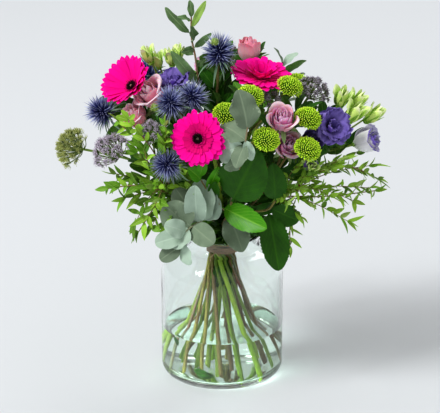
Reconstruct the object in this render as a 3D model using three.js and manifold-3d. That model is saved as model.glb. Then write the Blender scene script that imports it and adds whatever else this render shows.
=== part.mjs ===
// A hand-tied mixed bouquet of mini gerberas, roses, thistles and foliage, standing in water in a clear
// glass bottle vase. The stems are laid in a spiral, tied with twine in the vase's neck, and fan out below.
// Millimetres, +Z up. The origin is the centre of the vase's underside; the bouquet's front faces -Y.
import * as THREE from 'three';
import { ConvexGeometry } from 'three/addons/geometries/ConvexGeometry.js';
import { mergeVertices } from 'three/addons/utils/BufferGeometryUtils.js';
import Module from 'manifold-3d';

const wasm = await Module();
wasm.setup();

// ---- Driving dimensions ----
const CLEARANCE = 0.3; // gap kept between pieces that touch
const VASE = {
  radius: 80, height: 193, wall: 4, floor: 8, heel: 13.5, innerHeel: 12,
  shoulderBottom: 138, shoulderTop: 176, neckRadius: 47, rimRadius: 48.2, segments: 28,
};
const WATER_LEVEL = 65;
const TWINE = { bottom: 167.5, turns: 4, turnHeight: 3, depth: 3, segments: 16 };
const STEM = { radius: 2.5, sides: 5, steps: 15 };
const BRANCH = { radius: 1.5, sides: 4, steps: 4 };
// The spiral: around the tie each stem is a straight line that leans sideways, by `spread` times its
// distance from the axis over `fan` millimetres of height, so the bundle is narrowest at the tie.
const SPIRAL = { waist: 174, fan: 160, spread: 4.3, curveStart: 192, straightTop: 207 };
const FEET = { lowest: 9.2, rise: 2.9, levels: 4 }; // the cut ends stand at slightly different heights
const RINGS = [ // the rings of stems in the tie
  { radius: 3.96, count: 4 },
  { radius: 9.3, count: 10 },
  { radius: 14.7, count: 16 },
];
const LEAD = 65; // degrees by which a stem's place in the tie is ahead of its head, seen from above

const HEADS = {
  // seat: distance from the head's centre back to the end of its stem; neck: straight stem behind the head
  gerbera: { diameter: 69, seat: 13, neck: 34, segments: 12, color: '#e4007c' },
  rose: { diameter: 40, seat: 17, neck: 26, segments: 8, color: '#d58cb0' },
  santini: { diameter: 35, seat: 13, neck: 16, segments: 8, color: '#8cc220' },
  thistle: { diameter: 25, seat: 13, neck: 18, segments: 8, color: '#5a5f92' },
  lisianthus: { diameter: 42, seat: 19, neck: 20, segments: 10, color: '#6a4fb0' },
  furled: { diameter: 38, seat: 18, neck: 16, segments: 8, color: '#8f80b8' },
};
const OUTWARD_FROM = new THREE.Vector3(0, 0, 285); // a head with no facing of its own points away from here
const UPWARD = new THREE.Vector3(0, 0, 1);

// ---- Flowers: the ring that the stem has in the tie, and the heads as [kind, name, centre, facing] ----
// A stem with several heads branches at its fork; a bud is [x, y, z, radius].
const FLOWERS = [
  {
    name: 'gerbera_stem_left', ring: 1,
    heads: [['gerbera', 'gerbera_left', [-112, -47, 403], [-0.5, -0.55, 0.65]]],
  },
  {
    name: 'gerbera_stem_front', ring: 1,
    heads: [['gerbera', 'gerbera_front', [-29, -125, 359], [-0.26, -0.93, 0.25]]],
  },
  {
    name: 'gerbera_stem_top', ring: 0,
    heads: [['gerbera', 'gerbera_top', [48, -40, 413], [0.12, -0.28, 1]]],
  },
  {
    name: 'thistle_stem_left', ring: 2, fork: [-68, 22, 305],
    heads: [['thistle', 'thistle_left', [-149, -45, 369]], ['thistle', 'thistle_back', [-95, 62, 390]]],
  },
  {
    name: 'thistle_stem_top', ring: 0, fork: [-6, -28, 345],
    heads: [
      ['thistle', 'thistle_top', [-4, -55, 447], [0.05, -0.3, 1]],
      ['thistle', 'thistle_centre', [-36, -85, 399]],
    ],
  },
  {
    name: 'thistle_stem_front', ring: 1, fork: [-38, -62, 280],
    heads: [['thistle', 'thistle_middle', [-62, -95, 395]], ['thistle', 'thistle_low', [-66, -116, 324]]],
  },
  { name: 'rose_stem_top', ring: 0, heads: [['rose', 'rose_top', [34, 12, 438], [0.05, 0.05, 1]]] },
  { name: 'rose_stem_left', ring: 1, heads: [['rose', 'rose_left', [-89, -62, 396]]] },
  { name: 'rose_stem_far_left', ring: 2, heads: [['rose', 'rose_far_left', [-108, -66, 370]]] },
  {
    name: 'rose_stem_front', ring: 1, via: [38, -46, 300],
    heads: [['rose', 'rose_front', [73, -104, 376], [0.22, -0.66, 0.72]]],
  },
  {
    name: 'rose_stem_low', ring: 1, via: [58, -44, 290],
    heads: [['rose', 'rose_low', [82, -86, 337], [0.25, -0.85, 0.45]]],
  },
  { name: 'rose_stem_back', ring: 1, heads: [['rose', 'rose_back', [-20, 85, 392]]] },
  {
    name: 'santini_stem_centre', ring: 1, fork: [20, -42, 325],
    heads: [
      ['santini', 'santini_centre', [34, -95, 404]], ['santini', 'santini_inner', [5, -100, 383]],
      ['santini', 'santini_right', [83, -60, 406]],
    ],
  },
  {
    name: 'santini_stem_front', ring: 2, fork: [62, -72, 290],
    heads: [
      ['santini', 'santini_outer', [105, -92, 375]], ['santini', 'santini_front', [53, -127, 359]],
      ['santini', 'santini_low', [104, -114, 343]],
    ],
  },
  {
    name: 'santini_stem_back', ring: 2, fork: [45, 55, 320],
    heads: [['santini', 'santini_back', [36, 85, 408]], ['santini', 'santini_back_right', [98, 50, 380]]],
  },
  {
    name: 'lisianthus_stem_right', ring: 2, fork: [92, -38, 290],
    heads: [
      ['lisianthus', 'lisianthus_open', [135, -80, 361], [0.45, -0.8, 0.4]],
      ['furled', 'lisianthus_furled', [108, -76, 340], [0.4, -0.7, 0.6]],
    ],
    buds: [[110, -97, 317, 7]],
  },
  {
    name: 'lisianthus_stem_far_right', ring: 2, fork: [108, -8, 296],
    heads: [['furled', 'lisianthus_closed', [180, -45, 331], [0.8, -0.35, 0.35]]],
    buds: [[149, -35, 384, 10], [167, -28, 378, 10], [164, -42, 367, 11], [188, -28, 361, 10]],
  },
  {
    name: 'lisianthus_stem_left', ring: 1, fork: [-52, -12, 340],
    heads: [['lisianthus', 'lisianthus_left', [-64, -50, 417]]],
    buds: [[-86, -15, 440, 8], [-71, -12, 433, 8], [-92, -6, 427, 7]],
  },
];

// ---- Fillers and foliage ----
// path: points that the stem passes above the neck. twigs: side shoots, each starting on the path.
// domes: clusters of tiny flowers as [x, y, z, diameter].
// leaves: [base, tip, width], the base being moved onto the nearest shoot.
// sprays: which shoots carry rows of small leaflets, 0 being the stem itself.
const FOLIAGE = [
  {
    name: 'trachelium_left', ring: 2, color: '#8d87a0',
    path: [[-45, -30, 255], [-80, -50, 290], [-136, -80, 328]],
    twigs: [[[-80, -50, 290], [-84, -80, 330], [-86, -98, 358]]],
    domes: [[-136, -80, 328, 50], [-86, -98, 358, 32]],
  },
  {
    name: 'trachelium_right', ring: 1, color: '#5b5568',
    path: [[40, -12, 280], [80, -28, 340], [112, -40, 394]],
    twigs: [
      [[40, -12, 280], [52, -45, 350], [59, -62, 388]],
      [[40, -12, 280], [20, 30, 350], [6, 47, 412]],
    ],
    domes: [[112, -40, 394, 42], [59, -62, 388, 28], [6, 47, 412, 44]],
  },
  {
    name: 'wild_umbel', ring: 2, color: '#8f9a55',
    path: [[-45, -8, 250], [-105, -3, 288], [-190, 2, 308]], twigs: [],
    domes: [[-190, 2, 308, 50]],
  },
  {
    name: 'eucalyptus_top', ring: 0, color: '#8fa597',
    path: [[-28, -28, 330], [-28, -43, 388], [-33, -40, 437], [-38, -36, 463], [-38, -33, 487]], twigs: [],
    leaves: [
      [[-38, -36, 466], [-70, -36, 500], 14], [[-39, -34, 482], [-55, -50, 491], 9],
      [[-38, -33, 485], [-40, -28, 507], 10], [[-36, -34, 472], [-20, -40, 509], 11],
      [[-38, -38, 456], [-39, -60, 482], 15], [[-34, -38, 449], [-13, -45, 470], 10],
      [[-34, -38, 447], [-50, -60, 449], 14], [[-28, -44, 402], [-63, -60, 451], 18],
      [[-32, -42, 427], [-19, -55, 442], 9],
    ],
  },
  {
    name: 'eucalyptus_centre', ring: 2, color: '#93a79b',
    path: [[8, -52, 232], [19, -108, 308], [24, -130, 338], [28, -138, 361], [30, -140, 378]], twigs: [],
    leaves: [
      [[30, -140, 376], [19, -127, 421], 34], [[28, -138, 361], [-6, -120, 374], 30],
      [[26, -135, 351], [-12, -134, 345], 30], [[27, -137, 354], [16, -148, 329], 19],
      [[22, -126, 330], [2, -138, 326], 16], [[28, -138, 361], [36, -134, 334], 13],
      [[8, -56, 234], [26, -66, 190], 32], [[9, -60, 240], [26, -84, 240], 24],
    ],
  },
  {
    name: 'eucalyptus_low', ring: 2, color: '#9db0a4',
    path: [[-18, -70, 236], [-29, -95, 241], [-40, -108, 238], [-48, -113, 229], [-52, -114, 213]],
    twigs: [],
    leaves: [
      [[-38, -106, 239], [-70, -108, 266], 40], [[-27, -93, 242], [-24, -98, 292], 36],
      [[-40, -108, 238], [-62, -114, 218], 28], [[-30, -98, 241], [-58, -96, 282], 34],
      [[-21, -84, 240], [-11, -98, 284], 29], [[-30, -98, 241], [-33, -123, 297], 27],
      [[-36, -105, 239], [-13, -120, 224], 25], [[-45, -111, 233], [-69, -121, 246], 20],
      [[-47, -112, 229], [-83, -112, 219], 25], [[-51, -113, 216], [-77, -114, 198], 21],
      [[-50, -113, 222], [-40, -122, 194], 21], [[-18, -72, 238], [-6, -84, 270], 26],
    ],
  },
  {
    name: 'eucalyptus_back', ring: 2, color: '#93a79b',
    path: [[28, 30, 240], [58, 68, 300], [74, 90, 360], [80, 95, 396]], twigs: [],
    leaves: [
      [[45, 55, 275], [72, 85, 250], 28], [[45, 55, 275], [15, 88, 255], 28],
      [[60, 70, 305], [98, 95, 300], 26], [[60, 70, 305], [30, 104, 305], 26],
      [[68, 82, 338], [104, 110, 342], 24], [[68, 82, 338], [50, 118, 350], 24],
      [[75, 90, 366], [110, 100, 378], 20], [[75, 90, 366], [54, 114, 380], 20],
      [[80, 95, 388], [100, 112, 404], 14], [[80, 95, 392], [68, 100, 414], 14],
    ],
  },
  {
    name: 'salal_front', ring: 2, color: '#2f6a1c',
    path: [[0, -40, 215], [7, -75, 245], [12, -95, 268]],
    twigs: [[[7, -75, 245], [-15, -95, 278], [-28, -106, 303]]],
    leaves: [
      [[12, -95, 266], [44, -124, 346], 60], [[8, -84, 255], [46, -124, 238], 44],
      [[-26, -104, 298], [-42, -120, 320], 17], [[-28, -106, 303], [-22, -112, 330], 13],
      [[-18, -98, 285], [-4, -108, 318], 15], [[-10, -92, 270], [-8, -112, 300], 15],
    ],
  },
  {
    name: 'salal_right', ring: 2, color: '#2c5c1d',
    path: [[22, -47, 236], [57, -82, 253], [66, -92, 268]], twigs: [],
    leaves: [
      [[57, -82, 253], [71, -100, 178], 38], [[60, -85, 257], [96, -82, 238], 28],
      [[66, -92, 268], [62, -106, 322], 30],
    ],
  },
  {
    name: 'salal_back', ring: 2, color: '#2c5c1d', path: [[-22, 32, 238], [-48, 72, 268], [-60, 90, 300]],
    twigs: [[[-48, 72, 268], [-90, 75, 300], [-128, 60, 335]]],
    leaves: [
      [[-90, 75, 300], [-118, 106, 284], 34], [[-112, 68, 320], [-152, 58, 302], 30],
      [[-128, 60, 335], [-160, 44, 360], 28], [[-104, 72, 310], [-108, 48, 350], 30],
      [[-50, 75, 270], [-20, 112, 232], 42], [[-48, 72, 268], [-95, 98, 250], 42],
      [[-60, 90, 300], [-38, 120, 350], 44], [[-58, 86, 292], [-86, 112, 318], 34],
      [[-40, 60, 258], [-62, 50, 200], 38],
    ],
  },
  {
    name: 'pistacia_right', ring: 2, color: '#5f9a34',
    path: [
      [40, -24, 236], [62, -44, 254], [88, -62, 272], [122, -68, 298], [158, -60, 302], [197, -45, 281],
    ],
    twigs: [
      [[72, -58, 263], [113, -60, 262], [150, -52, 262], [193, -45, 265]],
      [[72, -58, 263], [84, -60, 238], [86, -62, 197]],
    ],
    sprays: [0, 1, 2],
  },
  {
    name: 'pistacia_left', ring: 2, color: '#5f9a34',
    path: [[-33, -35, 236], [-59, -76, 268], [-80, -92, 283], [-110, -95, 289], [-141, -85, 282]],
    twigs: [
      [[-59, -76, 268], [-89, -104, 318], [-98, -108, 346], [-125, -104, 372]],
      [[-75, -90, 280], [-84, -95, 262], [-104, -94, 228]],
    ],
    sprays: [0, 1, 2],
  },
];
const LEAFLET = { length: 23, width: 8, spacing: 15, spread: 50, bareStart: 0.35 };
const LEAF_THICKNESS = 0.9;
const SLIVER = 2e-3; // corners nearer than this are one corner
const ROUTE_SAMPLES = 120; // points tried on a shoot when a leaf's base is moved onto it
const TWINE_GROOVE = 0.55; // how thick the wound twine is between two turns, as a part of its depth

// ---- Geometry helpers ----
const vector = (p) => new THREE.Vector3(...p);
const radians = THREE.MathUtils.degToRad;

// A closed geometry as a solid, turned inside out if its faces point in.
function solidOf(geometry) {
  const bare = new THREE.BufferGeometry();
  const source = geometry.index ? geometry.toNonIndexed() : geometry;
  bare.setAttribute('position', source.getAttribute('position'));
  const merged = mergeVertices(bare, SLIVER);
  const vertProperties = merged.attributes.position.array;
  const triVerts = new Uint32Array(merged.index.array);
  const made = new wasm.Manifold(new wasm.Mesh({ numProp: 3, vertProperties, triVerts }));
  if (made.volume() > 0) return made;
  return new wasm.Manifold(new wasm.Mesh({ numProp: 3, vertProperties, triVerts: triVerts.reverse() }));
}

const join = (solids) => wasm.Manifold.union(solids);

function geometryOf(solid) {
  const { vertProperties, triVerts } = solid.getMesh();
  const geometry = new THREE.BufferGeometry();
  geometry.setAttribute('position', new THREE.Float32BufferAttribute(vertProperties, 3));
  geometry.setIndex(new THREE.Uint32BufferAttribute(triVerts, 1));
  return geometry;
}

// The largest of the bodies that a cut has left, without slivers.
function largestBody(solid) {
  const clean = solidOf(geometryOf(solid.simplify(SLIVER)));
  return clean.decompose().reduce((best, body) => (body.volume() > best.volume() ? body : best));
}

function meshOf(name, solid, color, finish = {}) {
  const geometry = geometryOf(solid);
  geometry.computeVertexNormals();
  const material = new THREE.MeshStandardMaterial({ color, roughness: 0.6, metalness: 0, ...finish });
  const mesh = new THREE.Mesh(geometry, material);
  mesh.name = name;
  return mesh;
}

const lathe = (profile, segments) => {
  const geometry = new THREE.LatheGeometry(profile.map((p) => new THREE.Vector2(...p)), segments);
  return solidOf(geometry.rotateX(Math.PI / 2));
};

// A round rod along a curve.
function rod(curve, { radius, sides, steps }, grow = 0) {
  const corners = Array.from({ length: sides }, (_, i) => {
    const angle = (2 * Math.PI * i) / sides;
    return new THREE.Vector2(Math.cos(angle), Math.sin(angle)).multiplyScalar(radius + grow);
  });
  return solidOf(new THREE.ExtrudeGeometry(new THREE.Shape(corners), { extrudePath: curve, steps }));
}

// An arc of a quarter ellipse as [r, z] points, from angle a to b in degrees.
function arc(centre, radii, from, to, count) {
  return Array.from({ length: count }, (_, i) => {
    const angle = radians(from + ((to - from) * i) / (count - 1));
    return [centre[0] + radii[0] * Math.cos(angle), centre[1] + radii[1] * Math.sin(angle)];
  });
}

// ---- Vase, water and twine ----
function vaseInside(gap, top) {
  const { radius, wall, floor, innerHeel } = VASE;
  const heelCentre = [radius - wall - innerHeel, floor + innerHeel];
  const inner = radius - wall - gap;
  const heelCurve = arc(heelCentre, [innerHeel - gap, innerHeel - gap], -90, 0, 4);
  return [[0, floor + gap], ...heelCurve, [inner, top]];
}

function vaseSolid() {
  const { radius, height, wall, heel, shoulderBottom, shoulderTop, neckRadius, rimRadius, segments } = VASE;
  const innerNeck = neckRadius - wall;
  const wide = radius - neckRadius;
  const tall = shoulderTop - shoulderBottom;
  const shoulder = arc([neckRadius, shoulderBottom], [wide, tall], 0, 78, 5);
  const underShoulder = arc([innerNeck, shoulderBottom], [wide, tall - wall], 0, 80, 5);
  const outside = [
    [0, 0], ...arc([radius - heel, heel], [heel, heel], -90, 0, 4), ...shoulder,
    [neckRadius + 1, shoulderTop + 3], [neckRadius, shoulderTop + 8], // the waist of the neck
    [rimRadius, height - 2], [rimRadius, height],
  ];
  const inside = [
    ...vaseInside(0, shoulderBottom), ...underShoulder.slice(1),
    [innerNeck, shoulderTop + 4], [innerNeck, height],
  ];
  return lathe([...outside, ...inside.reverse()], segments);
}

function waterSolid(stems) {
  const body = lathe([...vaseInside(CLEARANCE, WATER_LEVEL), [0, WATER_LEVEL]], VASE.segments);
  return body.subtract(join(stems.map((stem) => stem.solid(CLEARANCE))));
}

function twineSolid(grow = 0) {
  const { bottom, turns, turnHeight, depth, segments } = TWINE;
  const bundle = RINGS.at(-1).radius * 1.015 + STEM.radius; // the outer ring where it leaves the tie
  const inner = (bundle + CLEARANCE) / Math.cos(Math.PI / segments) - grow;
  const top = bottom + turns * turnHeight;
  const outside = Array.from({ length: 2 * turns + 1 }, (_, i) => {
    const bulge = i % 2 === 1 ? depth : depth * TWINE_GROOVE;
    return [inner + grow + bulge + grow, bottom + (i * turnHeight) / 2];
  });
  return lathe([[inner, bottom - grow], ...outside, [inner, top + grow], [inner, bottom - grow]], segments);
}

// ---- Stems ----
// A point of the straight part of a stem, at a height; slot is its [x, y] in the waist of the spiral.
function spiralPoint(slot, z) {
  const turn = (SPIRAL.spread * (SPIRAL.waist - z)) / SPIRAL.fan;
  return new THREE.Vector3(slot[0] - turn * slot[1], slot[1] + turn * slot[0], z);
}

function stemRoute(slot, footZ, points) {
  const route = new THREE.CurvePath();
  const start = spiralPoint(slot, SPIRAL.curveStart);
  route.add(new THREE.LineCurve3(spiralPoint(slot, footZ), start));
  route.add(new THREE.CatmullRomCurve3([start, spiralPoint(slot, SPIRAL.straightTop), ...points]));
  return route;
}

function outward(centre) {
  return centre.clone().sub(OUTWARD_FROM).normalize();
}

function readHead([kind, name, centre, facing]) {
  const at = vector(centre);
  const direction = facing ? vector(facing).normalize() : outward(at);
  return { kind, name, at, direction };
}

// The last two points of a shoot that ends square on the back of a head.
function seatPoints(head) {
  const { seat, neck } = HEADS[head.kind];
  const end = head.at.clone().addScaledVector(head.direction, -seat - CLEARANCE);
  return [end.clone().addScaledVector(head.direction, -neck), end];
}

function planFlower(flower) {
  const heads = flower.heads.map(readHead);
  const buds = (flower.buds ?? []).map(([x, y, z, radius]) => ({ at: new THREE.Vector3(x, y, z), radius }));
  if (!flower.fork) {
    const via = flower.via ? [vector(flower.via)] : [];
    return { ...flower, points: [...via, ...seatPoints(heads[0])], shoots: [], heads, buds };
  }
  const fork = vector(flower.fork);
  const toHeads = heads.slice(1).map((head) => [fork, ...seatPoints(head)]);
  const toBuds = buds.map((bud) => [fork, bud.at]);
  const points = [fork, ...seatPoints(heads[0])];
  return { ...flower, points, shoots: [...toHeads, ...toBuds], heads, buds };
}

function planFoliage(plant) {
  const shoots = plant.twigs.map((twig) => twig.map(vector));
  return { ...plant, points: plant.path.map(vector), shoots, heads: [], buds: [] };
}

// Each ring's stems take its places in the tie in the order of their heads round the bouquet.
function placeInTie(plans) {
  RINGS.forEach(({ radius, count }, ring) => {
    const azimuth = (plan) => Math.atan2(plan.points[0].y, plan.points[0].x) + radians(LEAD);
    const members = plans.filter((plan) => plan.ring === ring).sort((a, b) => azimuth(a) - azimuth(b));
    const step = (2 * Math.PI) / count;
    const sum = members.reduce((total, plan, i) => total + azimuth(plan) - i * step, 0);
    members.forEach((plan, i) => {
      const angle = sum / members.length + i * step;
      plan.slot = [radius * Math.cos(angle), radius * Math.sin(angle)];
    });
  });
}

function growStem(plan, index) {
  const footZ = FEET.lowest + FEET.rise * (index % FEET.levels);
  const main = stemRoute(plan.slot, footZ, plan.points);
  const shoots = plan.shoots.map((points) => new THREE.CatmullRomCurve3(points));
  const domes = plan.domes ?? [];
  const solid = (grow = 0) => join([
    rod(main, STEM, grow),
    ...shoots.map((shoot) => rod(shoot, BRANCH, grow)),
    ...plan.buds.map((bud) => ball(bud.at, bud.radius + grow)),
    ...domes.map((dome) => domeSolid(dome, grow)),
  ]);
  return { ...plan, routes: [main, ...shoots], solid };
}

// ---- Buds and flower clusters ----
function ball(at, radius) {
  return solidOf(new THREE.IcosahedronGeometry(radius, 0).translate(at.x, at.y, at.z));
}

function placed(solid, at, direction) {
  const turn = new THREE.Quaternion().setFromUnitVectors(UPWARD, direction);
  return solid.transform(new THREE.Matrix4().compose(at, turn, new THREE.Vector3(1, 1, 1)).elements);
}

function domeSolid([x, y, z, diameter], grow) {
  const r = diameter / 2 + grow;
  const at = new THREE.Vector3(x, y, z);
  const profile = [[0, -0.5 * r], [0.55 * r, -0.35 * r], [r, 0], [0.8 * r, 0.4 * r], [0, 0.6 * r]];
  return placed(lathe(profile, 8), at, outward(at).add(UPWARD).normalize());
}

// ---- Flower heads, each a plain round form along +Z with its seat at z = -seat ----
function headProfile(kind, grow) {
  const { diameter, seat } = HEADS[kind];
  const r = diameter / 2 + grow;
  const back = -seat - grow;
  const profiles = {
    gerbera: [
      [0, back], [6 + grow, back], [9, -4 - grow], [r - 3, 2 - grow], [r, 4], [r - 4, 5 + grow],
      [9, 1], [0, grow],
    ],
    rose: [
      [0, back], [5, back], [0.85 * r, -8], [r, 2], [0.9 * r, 12], [0.5 * r, 16 + grow], [0, 14 + grow],
    ],
    santini: [
      [0, back], [0.6 * r, -11 - grow], [r, -2], [0.8 * r, 8 + grow],
      [0.35 * r, 12 + grow], [0, 12 + grow],
    ],
    thistle: [
      [0, back], [5, back], [1.7 * r, -8 - grow], [1.7 * r, -7 + grow], [0.95 * r, -5], [r, 3],
      [0.7 * r, 11 + grow], [0, 15 + grow],
    ],
    lisianthus: [
      [0, back], [5, back], [0.6 * r, -8], [r, 8], [0.95 * r, 11 + grow],
      [0.3 * r, 4 + grow], [0, 4 + grow],
    ],
    furled: [[0, back], [4, back], [0.9 * r, -5], [r, 5], [0.6 * r, 17 + grow], [0, 18 + grow]],
  };
  return profiles[kind];
}

function headSolid(head, grow = 0) {
  return placed(lathe(headProfile(head.kind, grow), HEADS[head.kind].segments), head.at, head.direction);
}

// ---- Leaves ----
// A thin pointed blade from base to tip that faces away from the bouquet's middle.
function leafSolid(base, tip, width, grow = 0) {
  const along = tip.clone().sub(base);
  const length = along.length();
  along.normalize();
  const face = outward(base.clone().lerp(tip, 0.5)).addScaledVector(UPWARD, 0.5);
  const side = new THREE.Vector3().crossVectors(along, face).normalize();
  const up = new THREE.Vector3().crossVectors(side, along);
  const point = (t, s, h) => base.clone().addScaledVector(along, t * length)
    .addScaledVector(side, s).addScaledVector(up, h);
  const half = width / 2 + grow;
  const thick = LEAF_THICKNESS / 2 + grow;
  const over = grow / length;
  return solidOf(new ConvexGeometry([
    point(-over, 0, 0), point(1 + over, 0, 0), point(0.45, 0, thick), point(0.45, 0, -thick),
    point(0.28, half, 0), point(0.28, -half, 0), point(0.62, 0.82 * half, 0), point(0.62, -0.82 * half, 0),
  ]));
}

function nearestOn(routes, target) {
  const samples = routes.flatMap((route) => route.getSpacedPoints(ROUTE_SAMPLES));
  return samples.reduce((best, p) => (p.distanceTo(target) < best.distanceTo(target) ? p : best));
}

// Rows of leaflets, left and right in turn, along the outer part of a shoot.
function leafletsAlong(route) {
  const count = Math.floor((route.getLength() * (1 - LEAFLET.bareStart)) / LEAFLET.spacing);
  return Array.from({ length: count + 1 }, (_, i) => {
    const t = LEAFLET.bareStart + ((1 - LEAFLET.bareStart) * i) / count;
    const base = route.getPointAt(t);
    const along = route.getTangentAt(t);
    const side = new THREE.Vector3().crossVectors(along, outward(base)).normalize();
    const turn = i === count ? 0 : radians(LEAFLET.spread) * (i % 2 === 0 ? 1 : -1);
    const direction = along.multiplyScalar(Math.cos(turn)).addScaledVector(side, Math.sin(turn));
    return [base, base.clone().addScaledVector(direction, LEAFLET.length), LEAFLET.width];
  });
}

function leavesOf(stem) {
  const single = (stem.leaves ?? []).map(([base, tip, width]) => {
    return [nearestOn(stem.routes, vector(base)), vector(tip), width];
  });
  const shoots = stem.routes.map((route, i) => (i === 0 ? new THREE.CatmullRomCurve3(stem.points) : route));
  const rows = (stem.sprays ?? []).flatMap((i) => leafletsAlong(shoots[i]));
  return [...single, ...rows];
}

// ---- The whole object ----
const plans = [...FLOWERS.map(planFlower), ...FOLIAGE.map(planFoliage)];
placeInTie(plans);
const stems = plans.map(growStem);
const heads = stems.flatMap((stem) => stem.heads);

const object = new THREE.Group();
const glass = { roughness: 0.05, transparent: true, opacity: 0.3 };
object.add(meshOf('vase', vaseSolid(), '#dfe9ea', glass));
object.add(meshOf('water', waterSolid(stems), '#dcebe4', glass));
object.add(meshOf('twine', twineSolid(), '#b09078'));

// Heads give way to every stem but their own, and to the heads before them.
const grownStems = stems.map((stem) => stem.solid(CLEARANCE));
const taken = [vaseSolid(), twineSolid(CLEARANCE)];
for (const head of heads) {
  const others = grownStems.filter((_, i) => !stems[i].heads.includes(head));
  const solid = largestBody(headSolid(head).subtract(join([...others, ...taken])));
  object.add(meshOf(head.name, solid, HEADS[head.kind].color));
  taken.push(headSolid(head, CLEARANCE));
}

// Leaves give way to everything before them, and a leaf that is cut off from its shoot is left out.
stems.forEach((stem, i) => {
  const leaves = leavesOf(stem);
  if (leaves.length === 0) {
    object.add(meshOf(stem.name, stem.solid(), stem.color ?? '#86a84a'));
    return;
  }
  const others = join([...grownStems.filter((_, j) => j !== i), ...taken]);
  const blades = join(leaves.map((leaf) => leafSolid(...leaf))).subtract(others);
  object.add(meshOf(stem.name, largestBody(join([stem.solid(), blades])), stem.color));
  taken.push(...leaves.map((leaf) => leafSolid(...leaf, CLEARANCE)));
});

export default object;
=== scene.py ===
"""A hand-tied bouquet of mini gerberas, roses, thistles and foliage in a clear glass bottle vase."""
import math

import bmesh
import bpy
import numpy as np
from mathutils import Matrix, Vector


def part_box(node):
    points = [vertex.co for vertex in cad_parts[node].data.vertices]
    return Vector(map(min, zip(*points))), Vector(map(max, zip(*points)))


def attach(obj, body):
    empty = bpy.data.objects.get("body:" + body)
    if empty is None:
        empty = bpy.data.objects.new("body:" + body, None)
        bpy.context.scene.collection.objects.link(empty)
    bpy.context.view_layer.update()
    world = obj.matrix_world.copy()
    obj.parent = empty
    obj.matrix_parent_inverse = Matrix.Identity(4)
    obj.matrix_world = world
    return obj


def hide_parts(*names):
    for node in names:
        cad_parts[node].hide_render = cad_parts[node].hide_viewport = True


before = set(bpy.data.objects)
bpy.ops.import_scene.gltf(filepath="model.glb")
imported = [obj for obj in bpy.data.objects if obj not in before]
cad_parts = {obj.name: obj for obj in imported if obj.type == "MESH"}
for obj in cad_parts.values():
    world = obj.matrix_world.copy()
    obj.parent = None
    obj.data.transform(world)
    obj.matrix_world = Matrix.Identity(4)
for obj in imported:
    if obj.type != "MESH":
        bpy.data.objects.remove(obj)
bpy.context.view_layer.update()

# ==== Camera, floor and light ====
# A studio shot from a little above through a long lens, over pale seamless paper. A large softbox from the
# upper left makes the faint shadow to the right of the vase, and the rest of the light comes from all round.
MM = 0.001
CAMERA_PLACE = (-2.7, -2200.0, 1007.0)
CAMERA_PITCH = 19.5
LENS_MM, FILM_MM = 147.3, 36.0
VIEW_END = 50.0  # metres
FLOOR_HALF = 9.0
AIR_STRENGTH = 0.56
LAMPS = (  # name, place in metres, side and power
    ("key_softbox", (-4.6, -2.9, 5.8), 2.2, 360), ("rim_softbox", (1.5, 2.6, 3.0), 1.5, 22),
)
LAMPS_AIM = Vector((0, 0, 0.25))

scene = bpy.context.scene
scene.view_settings.view_transform = "Standard"
scene.view_settings.gamma = 0.84
scene.view_settings.exposure = 0.16
scene.cycles.max_bounces = 20
scene.cycles.transmission_bounces = 16
scene.cycles.transparent_max_bounces = 24


def linear(hex_colour):
    """A hex sRGB colour as linear red, green, blue and alpha."""
    srgb = np.array([int(hex_colour[i:i + 2], 16) for i in (1, 3, 5)]) / 255
    rgb = np.where(srgb <= 0.04045, srgb / 12.92, ((srgb + 0.055) / 1.055) ** 2.4)
    return (*rgb.tolist(), 1.0)


def add(tree, kind, inputs=None, out=0, stops=(), **settings):
    """Adds one node and gives its output socket. Settings are its properties, and inputs its sockets, each a
    value or another node's output. Stops are a ramp's places and colours, its two ends first."""
    node = tree.nodes.new("ShaderNode" + kind)
    for i, (position, colour) in enumerate(stops):
        step = node.color_ramp.elements[i] if i < 2 else node.color_ramp.elements.new(position)
        step.position, step.color = position, linear(colour)
    for key, value in settings.items():
        setattr(node, key, value)
    for key, value in (inputs or {}).items():
        if isinstance(value, bpy.types.NodeSocket):
            tree.links.new(value, node.inputs[key])
        else:
            node.inputs[key].default_value = value
    return node.outputs[out] if node.outputs else node


def bare_material(name):
    """A new material and its node tree, with no nodes yet."""
    material = bpy.data.materials.new(name)
    material.use_nodes = True
    material.node_tree.nodes.clear()
    return material, material.node_tree


def placed(name, data):
    """A new object in the scene."""
    thing = bpy.data.objects.new(name, data)
    scene.collection.objects.link(thing)
    return thing


def seamless_paper():
    """Matte studio paper, pale blue grey: no gloss, and only the faintest fibre mottling."""
    material, tree = bare_material("seamless_paper")
    mottle = add(tree, "TexNoise", {"Vector": add(tree, "TexCoord", out="Object"), "Scale": 900.0})
    rough = add(tree, "MapRange", {"Value": mottle, "To Min": 0.85, "To Max": 0.95})
    shader = add(tree, "BsdfPrincipled", {
        "Base Color": linear("#dcdfe2"), "Roughness": rough, "Specular IOR Level": 0.2,
    })
    add(tree, "OutputMaterial", {0: shader})
    return material


lens = bpy.data.cameras.new("studio_camera")
lens.lens, lens.sensor_width, lens.clip_end = LENS_MM, FILM_MM, VIEW_END
camera = placed("studio_camera", lens)
camera.location = [v * MM for v in CAMERA_PLACE]
camera.rotation_euler = (math.radians(90 - CAMERA_PITCH), 0, 0)
scene.camera = camera

paper = bpy.data.meshes.new("studio_floor")
corners = [(x * FLOOR_HALF, y * FLOOR_HALF, 0) for x, y in ((-1, -1), (1, -1), (1, 1), (-1, 1))]
paper.from_pydata(corners, [], [(0, 1, 2, 3)])
paper.materials.append(seamless_paper())
placed("studio_floor", paper)

air = bpy.data.worlds.new("studio_air")
air.use_nodes = True
air.node_tree.nodes["Background"].inputs["Color"].default_value = linear("#ffffff")
air.node_tree.nodes["Background"].inputs["Strength"].default_value = AIR_STRENGTH
scene.world = air

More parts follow.
